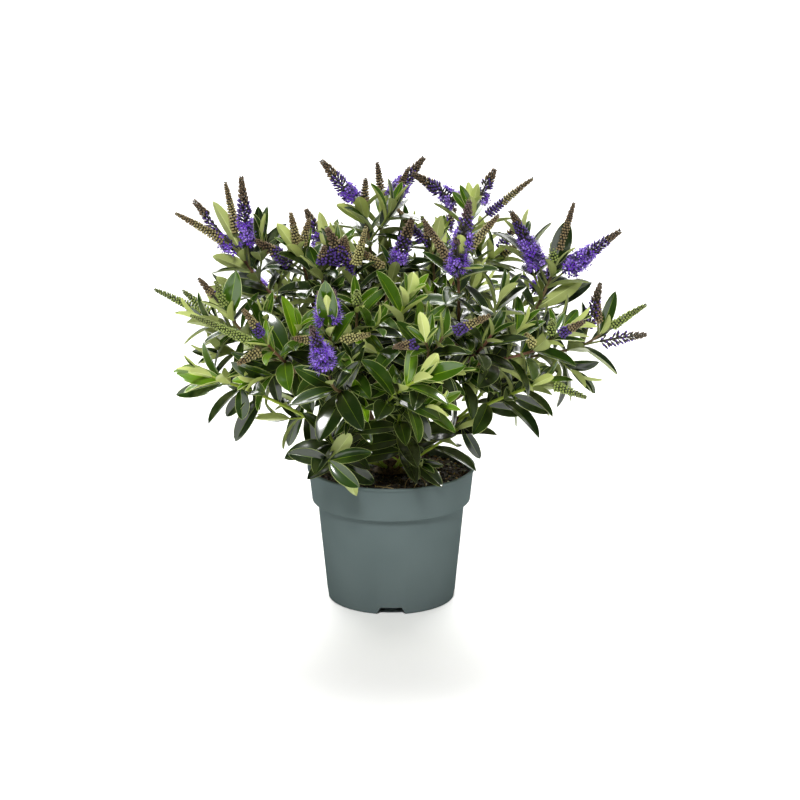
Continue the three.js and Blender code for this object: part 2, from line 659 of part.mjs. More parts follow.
const leaves = growths.flatMap(({ name, main, sprigs }) =>
  [main, ...sprigs].flatMap((shoot) => shoot.leaves.map((leaf) => ({ name, leaf }))));
for (const { name, leaf } of leaves.sort((a, b) => a.leaf.rank - b.leaf.rank)) {
  const tries = SWINGS.map((swing) => leafAt(leaf, swing));
  const fit = tries.find(({ solid, blade }) => isClear(solid, name) && missesOwn(blade, name));
  if (fit) place(fit.solid, name);
}

// One body for each mass: a scrap whose own twig was left out is dropped.
for (const { name } of growths) {
  const pieces = placed.filter((other) => other.owner === name).map((other) => other.solid);
  const bodies = wasm.Manifold.union(pieces).simplify(SMOOTHING).decompose();
  addMesh(name, bodies.reduce((a, b) => (a.volume() > b.volume() ? a : b)), FINISHES.leaf);
}

export default shrub;
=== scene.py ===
import itertools
import math
from collections import namedtuple
from types import SimpleNamespace as Sizes

import bpy
import numpy as np
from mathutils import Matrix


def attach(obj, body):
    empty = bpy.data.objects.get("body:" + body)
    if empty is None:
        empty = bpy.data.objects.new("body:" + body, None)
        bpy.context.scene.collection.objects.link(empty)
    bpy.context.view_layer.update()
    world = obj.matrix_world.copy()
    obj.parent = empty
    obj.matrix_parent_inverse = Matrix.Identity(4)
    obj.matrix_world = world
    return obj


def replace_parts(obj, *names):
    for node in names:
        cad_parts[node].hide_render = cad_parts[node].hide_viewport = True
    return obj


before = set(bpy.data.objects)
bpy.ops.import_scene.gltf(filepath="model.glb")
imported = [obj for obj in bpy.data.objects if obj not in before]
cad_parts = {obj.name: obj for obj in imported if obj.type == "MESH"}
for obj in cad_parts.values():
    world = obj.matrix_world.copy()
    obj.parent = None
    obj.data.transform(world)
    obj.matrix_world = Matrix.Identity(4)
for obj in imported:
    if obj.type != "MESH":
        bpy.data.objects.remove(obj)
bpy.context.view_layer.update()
MM = 0.001

# ---- Sizes shared with the solids ----

GAP = 0.3
SOIL_LEVEL = 132
SOIL_EDGE_DROP = 3
STOOL = Sizes(height=30, lean=(-2.5, 1.5), flare=17, flare_height=7, neck=11.5, top=12.5)
BOUGH = Sizes(foot=3.5, tip=2.7, share=0.5, facing=0.75)
STEM = Sizes(foot=2.3, tip=1.5, leafy=0.8)
SPRIG = Sizes(length=58, foot=1.5, tip=1.2, splay=45, rising=0.35, turn=137.5,
              highest=0.7, gap=0.22, pairs=5, spread=0.15)
SPIKE = Sizes(stalk=0.28, droop=0.06, arch=0.55, highest=3, pair_gap=18, open_radius=8,
              closed_radius=4.5)
LEAF_ANGLE = {"spiked": 34, "bare": 20}
FIRST_PAIR = 0.15
SPREAD = Sizes(roll=34, turn=14, angle=9, nod=10, leaf=0.12, sprig_place=0.05)
SEED = 601

# Where limbs leave the stool: height above the soil, distance from its axis, and degrees of rise.
TIERS = {"base": (5, 8, 30), "low": (14, 7, 45), "high": (24, 8, 62), "crown": (26, 1, 84)}

# Each bough's foot, in degrees round the stool from +X, and its tier.
BOUGHS = {
    "left_upper": (180, "high"), "left": (236, "high"), "left_low": (200, "low"), "front_left": (250, "low"),
    "front_right": (290, "low"), "middle": (250, "crown"), "top_left": (122, "high"),
    "top_right": (60, "high"), "right_upper": (2, "high"), "right": (304, "high"), "right_low": (338, "low"),
    "back_left": (145, "low"), "back_right": (35, "low"),
}

# Each mass: its bough, or the degrees round the stool's base that it leaves at; its stem's tip; the lean
# and nod of the stem there; its sprigs; its growth's freshness; and its flower spikes from the top down,
# two by two, each with its lean, length, share in bloom and the colour of its buds.
MASSES = {
    "upper_left": ("left_upper", (-149, -10, 363), -19, 5, 2, "dark",
        [(-54, 78, 0, "tan"), (-12, 72, 0, "tan"), (-37, 88, 0.65, "brown"), (-4, 92, 0.6, "brown")]),
    "left_inner": ("left_upper", (-91, -22, 362), -23, 5, 1, "mid",
        [(-10, 46, 0, "tan"), (14, 40, 0, "tan"), (-52, 60, 0.34, "brown")]),
    "far_left": ("left", (-174, 10, 286), -50, 0, 0, "dark", [(-48, 50, 0, "green"), (-62, 76, 0, "green")]),
    "left_fan": ("left", (-160, -55, 311), -28, 15, 1, "mid",
        [(-17, 40, 0, "green"), (-33, 52, 0.1, "brown")]),
    "left_mid": ("left", (-119, -90, 287), -35, 25, 1, "fresh",
        [(-30, 48, 0.1, "tan"), (-112, 34, 0, "tan"), (-56, 104, 0, "green")]),
    "left_low": ("left_low", (-184, -60, 250), -66, 10, 0, "fresh", []),
    "left_under": ("left_low", (-96, 10, 204), -110, 0, 1, "dark", []),
    "front_bloom": ("front_left", (-58, -150, 272), -8, 20, 0, "dark", [(-16, 60, 0.9, "violet")]),
    "front_leaf": ("front_left", (-59, -116, 312), 0, 15, 0, "fresh",
        [(-12, 40, 0.85, "violet"), (6, 38, 0.85, "violet"), (-75, 38, 0, "tan"), (67, 42, 0, "pale")]),
    "front_bud": ("front_left", (-32, -96, 328), 5, 45, 0, "mid", [(0, 22, 0, "green")]),
    "front_bright": ("front_right", (16, -108, 336), 30, 25, 0, "fresh", []),
    "front_pale": ("front_right", (33, -140, 302), -20, 35, 0, "mid", [(-80, 38, 0.1, "brown")]),
    "front_right": ("front_right", (50, -122, 303), 25, 20, 0, "mid", [(56, 56, 0.15, "tan")]),
    "front_low_right": (246, (29, -155, 270), 58, 28, 1, "fresh", []),
    "middle_left": ("middle", (-71, -40, 350), -14, 8, 0, "dark",
        [(35, 44, 0.34, "brown"), (12, 28, 0.1, "brown")]),
    "middle": ("middle", (-38, -42, 344), -2, 12, 0, "dark",
        [(-24, 58, 0.34, "brown"), (14, 60, 0, "pale"), (-8, 62, 0.1, "tan")]),
    "middle_right": ("middle", (2, -30, 344), 8, 12, 0, "dark",
        [(18, 60, 0.4, "brown"), (-46, 46, 0, "tan")]),
    "top_left": ("top_left", (-28, 36, 394), -14, -6, 1, "mid",
        [(-37, 68, 0.45, "brown"), (3, 34, 0, "brown")]),
    "top_centre": ("top_left", (-8, 72, 390), 6, -10, 0, "mid",
        [(37, 67, 0.6, "brown"), (-7, 48, 0, "brown"), (24, 68, 0, "brown")]),
    "top_mid": ("top_right", (41, 14, 356), -6, 5, 0, "dark",
        [(-36, 58, 0.1, "tan"), (-12, 34, 0.1, "brown")]),
    "top_right": ("top_right", (81, 50, 392), 0, -8, 0, "fresh",
        [(28, 48, 0.6, "brown"), (-56, 72, 0.5, "brown"), (49, 84, 0.1, "tan")]),
    "top_behind": ("top_right", (104, 62, 340), 20, -12, 1, "mid",
        [(60, 36, 0, "tan"), (34, 48, 0.2, "brown")]),
    "right_bloom": ("right", (66, -78, 370), 3, 15, 0, "mid",
        [(8, 64, 0.5, "violet"), (38, 60, 0, "tan"), (-3, 46, 0.9, "violet"), (-29, 72, 0, "brown")]),
    "right_front": ("right", (97, -103, 300), 26, 25, 1, "dark", []),
    "right_mid": ("right", (157, -80, 291), 38, 15, 1, "mid",
        [(52, 42, 0.1, "brown"), (2, 24, 0, "green"), (-30, 22, 0, "pale")]),
    "right_upper": ("right_upper", (163, 0, 345), 16, 0, 1, "dark",
        [(15, 70, 0, "brown"), (-5, 26, 0, "green"), (-26, 84, 0.85, "brown"), (49, 92, 0.8, "brown")]),
    "far_right": ("right_upper", (210, 0, 275), 45, 5, 0, "dark",
        [(50, 60, 0, "green"), (-4, 50, 0, "brown"), (74, 64, 0.5, "loose"), (12, 70, 0.4, "loose")]),
    "right_low": ("right_low", (150, -58, 242), 62, 8, 0, "mid", [(102, 46, 0, "green")]),
    "right_under": ("right_low", (114, -8, 234), 70, 0, 1, "dark", []),
    "back_left": ("back_left", (-128, 104, 286), -34, -34, 1, "dark",
        [(-40, 60, 0.4, "brown"), (10, 45, 0, "tan")]),
    "back_top_left": ("back_left", (-66, 112, 328), -14, -26, 1, "mid",
        [(-24, 58, 0.5, "brown"), (20, 42, 0, "tan")]),
    "back_low_left": ("back_left", (-84, 150, 224), -30, -60, 1, "dark", []),
    "back_middle": ("back_right", (6, 176, 278), 4, -48, 1, "mid",
        [(-20, 60, 0.5, "brown"), (24, 46, 0.1, "tan")]),
    "back_top_right": ("back_right", (44, 124, 330), 10, -26, 1, "fresh",
        [(26, 60, 0.5, "brown"), (-16, 44, 0, "green")]),
    "back_right": ("back_right", (140, 96, 288), 36, -32, 1, "dark", [(44, 60, 0.4, "brown")]),
    "back_low_right": ("back_right", (98, 146, 220), 34, -58, 1, "dark", []),
    "foot_left": (208, (-60, -88, 206), 0, 20, 0, "dark", []),
    "foot_front": (228, (-60, -104, 174), -8, 66, 0, "mid", []),
    "foot_middle": (292, (10, -122, 236), 10, 40, 0, "dark", []),
    "foot_right": (322, (74, -30, 190), 50, 0, 0, "dark", []),
}

# ---- Seeded chance, directions and curves ----


def chance(a, b, c):
    """A number from 0 to 1 that depends only on its three whole-number keys, as in the solids."""
    word = 0xFFFFFFFF
    h = (((a + SEED) * 0x9E3779B1) ^ ((b + 1) * 0x85EBCA6B) ^ ((c + 1) * 0xC2B2AE35)) & word
    h = ((h ^ (h >> 15)) * 0x2C1B3C6D) & word
    h = ((h ^ (h >> 12)) * 0x297A2D39) & word
    return (h ^ (h >> 15)) / 2**32


def spread(size, *keys):
    return size * (2 * chance(*keys) - 1)


def unit(v):
    return v / np.linalg.norm(v)


def mix(a, b, share):
    return a + (b - a) * share


def pointing(lean, nod):
    l, n = math.radians(lean), math.radians(nod)
    return np.array([math.sin(l) * math.cos(n), -math.sin(n), math.cos(l) * math.cos(n)])


def square_to(tangent):
    """Two directions square to a tangent: the first lies as nearly as it can in the frontal plane."""
    side = np.cross((0.0, -1.0, 0.0), tangent)
    if np.linalg.norm(side) < 0.2:
        side = np.array([1.0, 0.0, 0.0]) - tangent * tangent[0]
    side = unit(side)
    return side, unit(np.cross(tangent, side))


def turned_about(tangent, turn):
    side, front = square_to(tangent)
    return side * math.cos(turn) + front * math.sin(turn)


class Curve:
    """A Bezier curve on its control points, read by shares of its length."""

    def __init__(self, *points):
        self.points = np.array(points, float)
        self.parameters = np.linspace(0, 1, 161)
        track = self.bernstein(self.points, self.parameters)
        self.lengths = np.append(0, np.cumsum(np.linalg.norm(np.diff(track, axis=0), axis=1)))
        self.length = self.lengths[-1]

    @staticmethod
    def bernstein(points, t):
        n = len(points) - 1
        return sum(np.multiply.outer(math.comb(n, k) * t**k * (1 - t) ** (n - k), p)
                   for k, p in enumerate(points))

    def parameter(self, share):
        return np.interp(np.asarray(share) * self.length, self.lengths, self.parameters)

    def at(self, share):
        return self.bernstein(self.points, self.parameter(share))

    def tangent(self, share):
        way = self.bernstein(np.diff(self.points, axis=0), self.parameter(share))
        return way / np.linalg.norm(way, axis=-1, keepdims=True)


def bend(start, start_way, end, end_way):
    reach = 0.35 * np.linalg.norm(end - start)
    return Curve(start, start + start_way * reach, end - end_way * reach, end)


# ---- Colours and materials ----


def linear(red, green, blue):
    """A colour on the screen's scale of 0 to 255, as the light that it stands for."""
    shares = [c / 255 for c in (red, green, blue)]
    return (*[s / 12.92 if s <= 0.04045 else ((s + 0.055) / 1.055) ** 2.4 for s in shares], 1)


def new_material(name, colour, roughness, **values):
    material = bpy.data.materials.new(name)
    material.use_nodes = True
    inputs = material.node_tree.nodes["Principled BSDF"].inputs
    for key, value in {"base_color": linear(*colour), "roughness": roughness, **values}.items():
        inputs[key.replace("_", " ").title().replace("Ior", "IOR")].default_value = value
    return material


def node(owner, kind, links=(), **values):
    """Adds a node, sets its sockets by name, and links sockets given as (node, output)."""
    new = owner.node_tree.nodes.new(kind)
    for name, value in values.items():
        new.inputs[name].default_value = value
    for name, (source, output) in dict(links).items():
        owner.node_tree.links.new(source.outputs[output], new.inputs[name])
    return new


def map_range(owner, source, output, *limits):
    names = ("From Min", "From Max", "To Min", "To Max")
    return node(owner, "ShaderNodeMapRange", {"Value": (source, output)}, **dict(zip(names, limits)))


def into_shader(material, source, output, socket):
    tree = material.node_tree
    tree.links.new(source.outputs[output], tree.nodes["Principled BSDF"].inputs[socket])


def place_of(material):
    return node(material, "ShaderNodeTexCoord"), "Object"


def noise(material, scale, detail=3, roughness=0.6):
    return node(material, "ShaderNodeTexNoise", {"Vector": place_of(material)},
                Scale=scale, Detail=detail, Roughness=roughness)


def add_bump(material, height, distance):
    bump = node(material, "ShaderNodeBump", {"Height": (height, "Fac")}, Distance=distance, Strength=1.0)
    into_shader(material, bump, "Normal", "Normal")


def ramp(material, source, stops):
    """Colours by a noise's value: stops are (position, colour)."""
    new = node(material, "ShaderNodeValToRGB", {"Fac": (source, "Fac")})
    elements = new.color_ramp.elements
    while len(elements) < len(stops):
        elements.new(0.5)
    for element, (position, colour) in zip(elements, stops):
        element.position = position
        element.color = linear(*colour)
    return new


def plant_material(name, colour, roughness, grain=260, relief=0.00008, **values):
    """A plain colour with fine relief, for leaves, twigs, flowers and litter."""
    material = new_material(name, colour, roughness, **values)
    add_bump(material, noise(material, grain), relief)
    return material


def plant_materials(kind, colours, roughness, **values):
    return [plant_material(f"{kind}_{name}", colour, roughness, **values) for name, colour in colours.items()]


# ---- Meshes ----


class Piece:
    """Points and triangles gathered for one mesh object, with a material for each triangle."""

    def __init__(self, name, slot, materials):
        self.name, self.slot, self.materials = name, slot, materials
        self.index = {material.name: i for i, material in enumerate(materials)}
        self.points, self.triangles, self.looks, self.count = [], [], [], 0

    def add(self, points, triangles, looks):
        """looks is one material name, or a whole-number array with a material index for each triangle."""
        points, triangles = np.reshape(points, (-1, 3)), np.reshape(triangles, (-1, 3))
        if isinstance(looks, str):
            looks = np.full(len(triangles), self.index[looks])
        self.points.append(points)
        self.triangles.append(triangles + self.count)
        self.looks.append(looks)
        self.count += len(points)

    def make(self, smooth=True):
        mesh = bpy.data.meshes.new(self.name)
        points, triangles = np.concatenate(self.points) * MM, np.concatenate(self.triangles)
        mesh.from_pydata(points.tolist(), [], triangles.tolist())
        for material in self.materials:
            mesh.materials.append(material)
        mesh.polygons.foreach_set("material_index", np.concatenate(self.looks).astype(np.int32))
        mesh.polygons.foreach_set("use_smooth", np.full(len(triangles), smooth))
        mesh.validate()
        piece = bpy.data.objects.new(self.name, mesh)
        bpy.context.scene.collection.objects.link(piece)
        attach(piece, "root")
        return piece


def round_angles(sides):
    return np.arange(sides) * 2 * math.pi / sides


def skin(rings, first, last):
    """A closed skin over rings of corners, an array of rings by corners by 3, with a point at each end."""
    count, sides = rings.shape[:2]
    i = np.arange(sides)
    after = (i + 1) % sides
    bases = (np.arange(count - 1) * sides)[:, None]
    low, low_next, top = bases + i, bases + after, (count - 1) * sides
    triangles = np.concatenate([
        np.stack([low, low_next, low_next + sides], -1).reshape(-1, 3),
        np.stack([low, low_next + sides, low + sides], -1).reshape(-1, 3),
        np.stack([np.full(sides, count * sides), after, i], -1),
        np.stack([np.full(sides, count * sides + 1), top + i, top + after], -1),
    ])
    return np.concatenate([rings.reshape(-1, 3), [first, last]]), triangles


def tube(centres, radii, sides):
    """A closed round limb along centres. radii is one number, one for each ring, or one for each corner."""
    ways = np.gradient(centres, axis=0)
    ways /= np.linalg.norm(ways, axis=1, keepdims=True)
    side = square_to(ways[0])[0]
    angles = round_angles(sides)
    if np.ndim(radii) == 1:
        radii = radii[:, None]
    radii = np.broadcast_to(radii, (len(centres), sides))
    rings = []
    for centre, way, radius in zip(centres, ways, radii):
        side = unit(side - way * side.dot(way))
        circle = np.outer(np.cos(angles), side) + np.outer(np.sin(angles), np.cross(way, side))
        rings.append(centre + circle * radius[:, None])
    return skin(np.array(rings), centres[0], centres[-1])


def frames(ways, turns):
    """For each direction, three rows: itself and two square to it, turned about it."""
    sides = np.array([turned_about(w, t) for w, t in zip(ways, turns)])
    return np.stack([ways, sides, np.cross(ways, sides)], axis=1)


def stamp(piece, template, feet, ways, turns, sizes, looks):
    """Copies of a template. sizes has its length and width for each copy, and looks its material index
    for each copy and zone."""
    points, triangles, zones = template
    scaled = points[None] * np.stack([sizes[:, 0], sizes[:, 1], sizes[:, 1]], -1)[:, None]
    placed = np.einsum("kni,kij->knj", scaled, frames(ways, turns)) + feet[:, None]
    offsets = (np.arange(len(feet)) * len(points))[:, None, None]
    piece.add(placed, triangles[None] + offsets, looks[:, zones].ravel())


def one_zone(points, triangles):
    return points, triangles, np.zeros(len(triangles), int)


def lathe(profile, sides, relief=None):
    """A turned solid: profile is (radius, height) from the axis up and back to the axis."""
    (_, bottom), *middle, (_, top) = profile
    rings = np.array([[(r * math.cos(a), r * math.sin(a), z) for a in round_angles(sides)]
                      for r, z in middle])
    if relief is not None:
        rings[..., :2] *= relief[..., None]
    return skin(rings, (0, 0, bottom), (0, 0, top))


# ---- Boughs and stems ----


def stool_exit(turn, tier):
    height, radius, rise = TIERS[tier]
    share = height / STOOL.height
    axis = np.array([STOOL.lean[0] * share, STOOL.lean[1] * share, SOIL_LEVEL + height])
    t, r = math.radians(turn), math.radians(rise)
    out = np.array([math.cos(t), math.sin(t), 0])
    return axis + out * radius, out * math.cos(r) + (0, 0, math.sin(r))


def bough_curve(name):
    point, way = stool_exit(*BOUGHS[name])
    middle = np.mean([mass[1] for mass in MASSES.values() if mass[0] == name], axis=0)
    end = mix(point, middle, BOUGH.share)
    end_way = unit(middle - end)
    return bend(point, way, end, unit(mix(way, end_way, BOUGH.facing)))


def fork_starts(curve, masses):
    """The masses on one bough start side by side round its tip, each on the side that it grows to."""
    centre, way = curve.at(1.0), curve.tangent(1.0)
    side, front = square_to(way)

    def turn_of(name):
        towards = np.array(MASSES[name][1]) - centre
        return math.atan2(towards.dot(front), towards.dot(side))

    ordered = sorted(masses, key=turn_of)
    slot = 2 * math.pi / len(ordered)
    drift = [turn_of(name) - i * slot for i, name in enumerate(ordered)]
    phase = math.atan2(sum(map(math.sin, drift)), sum(map(math.cos, drift)))
    ring = (STEM.foot + GAP) / math.sin(slot / 2)
    starts = {}
    for i, name in enumerate(ordered):
        turn = phase + i * slot
        offset = ring * (math.cos(turn) * side + math.sin(turn) * front)
        starts[name] = (centre + way * GAP + offset, way, centre - way * 6)
    return starts


# Each mass's start: where its stem begins, the way it sets out, and a point inside its bough.
boughs = {name: bough_curve(name) for name in BOUGHS}
starts = {}
for bough, curve in boughs.items():
    starts.update(fork_starts(curve, [name for name, mass in MASSES.items() if mass[0] == bough]))
for name, mass in MASSES.items():
    if mass[0] not in BOUGHS:
        point, way = stool_exit(mass[0], "base")
        starts[name] = (point, way, point - way * 5)

# One leafy stem of a mass. seed and number are the keys of its chances, and kind that of its leafing.
Shoot = namedtuple("Shoot", "mass seed number curve foot tip kind pairs root", defaults=[None])

# Leaf pairs stand this far apart at a shoot's tip, and this share more at each pair further down.
NODE_GAP = {"spiked": 11, "bare": 9}
NODE_GROWTH = 0.1
TWIGLET = Sizes(length=36, foot=1.1, tip=0.8, splay=52, first=0.16, gap=25, pairs=3,
                top=0.62, number=10, spread=0.2)
NO_TWIGLETS = {"left_low", "front_low_right", "foot_front", "foot_right", "foot_left", "right_low",
               "right_under"}

# Long shoots whose stems show, and the share of their length below which they carry no leaves.
BARE_FOOT = {"left_low": 0.5, "front_low_right": 0.74, "foot_front": 1, "foot_right": 0.45,
             "foot_left": 0.4}
LOWEST_LEAF = 0.08  # that share for all other shoots


def node_down(kind, pair):
    """How far below a shoot's tip a leaf pair stands."""
    return NODE_GAP[kind] * (pair + FIRST_PAIR + NODE_GROWTH * pair * (pair - 1) / 2)


def side_shoot(stem, form, share, number, key, draw):
    """A sprig or twiglet from a share up a stem, turned on from the one before it."""
    turn = math.radians(SPRIG.turn) * key + 2 * math.pi * draw
    foot, tangent, splay = stem.curve.at(share), stem.curve.tangent(share), math.radians(form.splay)
    way = tangent * math.cos(splay) + turned_about(tangent, turn) * math.sin(splay)
    length = form.length * (1 + spread(form.spread, stem.seed, key, 7))
    curve = bend(foot, way, foot + way * length, unit(mix(way, tangent, SPRIG.rising)))
    return Shoot(stem.mass, stem.seed, number, curve, form.foot, form.tip, "bare", form.pairs)


def shoots_of(name, seed):
    """A mass's stem, its sprigs as on the solids, and the finer twiglets between them."""
    _, tip, lean, nod, sprigs, _, spikes = MASSES[name]
    point, way, root = starts[name]
    curve = bend(point, way, np.array(tip, float), pointing(lean, nod))
    kind = "spiked" if spikes else "bare"
    pairs = sum(node_down(kind, pair) < STEM.leafy * curve.length for pair in range(40))
    stem = Shoot(name, seed, 0, curve, STEM.foot, STEM.tip, kind, pairs, root)
    shoots = [stem]
    for i in range(sprigs):
        share = SPRIG.highest - SPRIG.gap * i + spread(SPREAD.sprig_place, seed, i, 5)
        shoots.append(side_shoot(stem, SPRIG, share, i + 1, i, chance(seed, i, 6)))
    share, number = TWIGLET.first, TWIGLET.number
    while share < TWIGLET.top and name not in NO_TWIGLETS:
        shoots.append(side_shoot(stem, TWIGLET, share, number, number, chance(seed, 0, 9)))
        share += TWIGLET.gap / curve.length
        number += 1
    return shoots


shoots = [shoot for seed, name in enumerate(MASSES) for shoot in shoots_of(name, seed)]
stems = {shoot.mass: shoot.curve for shoot in shoots if not shoot.number}

# ---- Flower spikes, and keeping leaves, limbs and spikes apart ----

Spike = namedtuple("Spike", "mass seed number curve bloom tint")
CELL = 8


def spikes_of(name, seed):
    nod, stem = MASSES[name][3], stems[name]
    made = []
    for i, (lean, length, bloom, tint) in enumerate(MASSES[name][6]):
        down = SPIKE.highest + SPIKE.pair_gap * (i // 2)
        way = pointing(lean, nod + spread(SPREAD.nod, seed, i, 8))
        foot = stem.at(1 - down / stem.length)
        end = foot + way * length
        end[2] -= SPIKE.droop * length * math.hypot(way[0], way[1])
        made.append(Spike(name, seed, i, Curve(foot, foot + way * SPIKE.arch * length, end), bloom, tint))
    return made


class Crowd:
    """Points with a radius and an owner, found again by the cell that they lie in."""

    def __init__(self):
        self.cells = {}

    def add(self, points, radius, owner):
        for p in points:
            self.cells.setdefault(tuple((p // CELL).astype(int)), []).append((*p, radius, owner))

    def follow(self, curve, first, radius, owner):
        self.add(curve.at(np.linspace(first, 1, max(2, int(curve.length / 3)))), radius, owner)

    def nearest(self, point, owner):
        """How far a point lies outside the nearest member that isn't the owner's, up to a cell."""
        best = CELL
        for cell in itertools.product(*((int(c) - 1, int(c), int(c) + 1) for c in point // CELL)):
            for *place, radius, other in self.cells.get(cell, ()):
                if other != owner:
                    best = min(best, math.dist(point, place) - radius)
        return best


spikes = [spike for seed, name in enumerate(MASSES) for spike in spikes_of(name, seed)]
limbs, blades = Crowd(), Crowd()
for shoot in shoots:
    limbs.follow(shoot.curve, 0, shoot.foot, (shoot.mass, shoot.number))
for name, curve in boughs.items():
    limbs.follow(curve, 0, BOUGH.foot, name)
for spike in spikes:
    radius = SPIKE.open_radius if spike.bloom > 0.2 else SPIKE.closed_radius
    limbs.follow(spike.curve, SPIKE.stalk, radius, (spike.mass, "spike", spike.number))

# ---- Leaves ----

LEAF = Sizes(length=52, width=19, young_width=13.5, margin=0.36, rib=0.4, thickness=0.5,
             petiole=1.1, bulge=0.55, groove=0.25, keel=0.4, youngest=0.58, growing=0.15,
             on_side_shoot=0.92)
# A grown leaf's value, a young one's, and the chance spread: degrees of fold at the rib, of curl down at
# the tip and of rise at the foot.
FOLD, CURL, RISE = (18, 32, 5), (26, 2, 14), (8, 4, 5)
WIDTH_SPREAD = 0.18
YOUNG_PAIRS = 4
LIGHT = np.array([0, -0.25, 1.0])  # where leaves turn their upper sides, and outwards from the shrub
OUTWARDS, TOWARDS_LIGHT = 0.5, 1.2
OLDEST_ANGLE, AGEING = 78, 9.5  # degrees from the stem, and more for each pair further down

# Turns about the stem and away from it that are tried in this order for a leaf that meets something.
SWINGS = [(0, 0), (0.35, 0.15), (-0.35, 0.15), (0, 0.4), (0.6, -0.1), (-0.6, -0.1), (0, -0.3), (0.9, 0.3),
          (-0.9, 0.3)]

# The margin strip along the edge of a leaf's upper side is a painted highlight: its pale colour stands in for
# light caught by the curled edge.
LEAF_ZONES = ("top", "under", "margin", "rib", "vein")
LEAF_COLOURS = {
    "deep": ((13, 26, 1), (120, 134, 74), (130, 140, 90), (60, 80, 16), (154, 166, 108)),
    "dark": ((20, 37, 2), (144, 156, 92), (145, 157, 98), (80, 102, 20), (180, 190, 126)),
    "mid": ((33, 58, 3), (166, 177, 106), (166, 177, 110), (100, 126, 26), (198, 208, 142)),
    "green": ((57, 90, 5), (186, 198, 112), (200, 210, 138), (126, 156, 32), (210, 219, 148)),
    "young": ((94, 132, 8), (209, 219, 134), (217, 226, 150), (158, 188, 46), (226, 235, 170)),
}


def leaf_materials():
    made = []
    for age, colours in LEAF_COLOURS.items():
        for zone, colour in zip(LEAF_ZONES, colours):
            shiny = zone not in ("under", "vein")
            made.append(plant_material(f"leaf_{age}_{zone}", colour, 0.4 if shiny else 0.5, relief=0.0001,
                                       specular_ior_level=0.15, coat_weight=1.0 if shiny else 0.3,
                                       coat_ior=1.6, coat_roughness=0.14))
    return made


# A leaf's rows from its stalk to its tip, as shares of its length, and the outline's half width there.
ROWS = np.array([0, 0.07, 0.18, 0.31, 0.45, 0.59, 0.72, 0.83, 0.92])
OUTLINE = ROWS**0.78 * (1 - ROWS) ** 0.76
OUTLINE = OUTLINE / OUTLINE.max()


def leaf_triangles():
    """The triangles of one leaf with their zones: eight columns above, four more below, and the tip."""
    rows = len(ROWS)
    upper = np.arange(rows * 8).reshape(rows, 8)
    under = rows * 8 + np.arange(rows * 4).reshape(rows, 4)
    lower = np.column_stack([upper[:, 0], under, upper[:, 7]])
    triangles, looks = [], []
    # The outer strip on each side of the upper sheet takes the margin's painted highlight colour.
    for grid, zones, order in ((upper, ("margin", "top", "top", "rib", "top", "top", "margin"), 1),
                               (lower, ("under", "under", "vein", "under", "under"), -1)):
        for column, zone in enumerate(zones):
            a, b = grid[:, column], grid[:, column + 1]
            strip = np.stack([a[:-1], a[1:], b[1:], a[:-1], b[1:], b[:-1]], 1).reshape(-1, 3)
            triangles += [*strip[:, ::order], (a[-1], rows * 12, b[-1])[::order]]
            looks += [LEAF_ZONES.index(zone)] * (len(strip) + 1)
    ring = [*upper[0], *under[0, ::-1]]
    triangles += [(a, b, ring[0]) for a, b in zip(ring[1:-1], ring[2:])]
    looks += [LEAF_ZONES.index("under")] * (len(ring) - 2)
    return np.array(triangles), np.array(looks)


LEAF_TRIANGLES, LEAF_LOOKS = leaf_triangles()


class Leaf(namedtuple("Leaf", "foot way upper length width fold curl rise age")):
    """One leaf's place and form. rise and curl are its degrees up at the foot and down at the tip."""

    def spine(self, share):
        """Points of the midrib and the directions of its upper side."""
        fine = np.linspace(0, 1, 33)
        angle = np.radians(self.rise - (self.rise + self.curl) * fine)

        def travelled(steps):
            track = np.append(0, np.cumsum((steps[1:] + steps[:-1]) / 2)) / (len(fine) - 1)
            return np.interp(share, fine, track)

        ahead, lift, a = travelled(np.cos(angle)), travelled(np.sin(angle)), np.interp(share, fine, angle)
        points = np.multiply.outer(ahead, self.way) + np.multiply.outer(lift, self.upper)
        normals = np.multiply.outer(np.cos(a), self.upper) - np.multiply.outer(np.sin(a), self.way)
        return self.foot + self.length * points, normals

    def mesh(self):
        spine, normals = self.spine(ROWS)
        across = np.cross(self.upper, self.way)
        half = np.maximum(self.width / 2 * OUTLINE, LEAF.petiole / 2 * (1 - ROWS))
        inner = half - np.minimum(LEAF.margin, 0.3 * half)
        rib = np.minimum(LEAF.rib * (1.15 - ROWS), 0.3 * half)
        fold = math.tan(math.radians(self.fold))
        bulge = LEAF.bulge / np.maximum(half, 0.5)[:, None]

        def sheet(columns, sunk, rib_sunk):
            across_at, middle = np.stack(columns, 1), len(columns) // 2
            lift = fold * ((1 + LEAF.bulge) * np.abs(across_at) - bulge * across_at**2) - sunk
            lift[:, middle - 1:middle + 1] -= rib_sunk
            return (spine[:, None] + across_at[..., None] * across
                    + lift[..., None] * normals[:, None]).reshape(-1, 3)

        upper = sheet([-half, -inner, -0.52 * half, -rib, rib, 0.52 * half, inner, half], 0, LEAF.groove)
        lower = sheet([-0.5 * half, -rib, rib, 0.5 * half], LEAF.thickness, LEAF.keel)
        return np.concatenate([upper, lower, self.spine(1.0)[0][None]])


AGES = {"dark": ["mid", "dark", "dark", "deep", "dark"], "mid": ["green", "mid", "dark", "dark", "deep"],
        "fresh": ["young", "green", "mid", "dark", "dark"]}


def leaf_age(freshness, pair, draw):
    """Younger pairs are paler. A few leaves are one step off their neighbours."""
    steps = AGES[freshness]
    return steps[min(len(steps) - 1, max(0, pair // 2 + (draw > 0.8) - (draw < 0.12)))]


def leafy_pairs(shoot):
    """The pairs from a shoot's tip down to where its leaves end, with their share of its length."""
    lowest = LOWEST_LEAF if shoot.number else BARE_FOOT.get(shoot.mass, LOWEST_LEAF)
    for pair in range(shoot.pairs):
        share = 1 - node_down(shoot.kind, pair) / shoot.curve.length
        if share < lowest:
            return
        yield pair, share


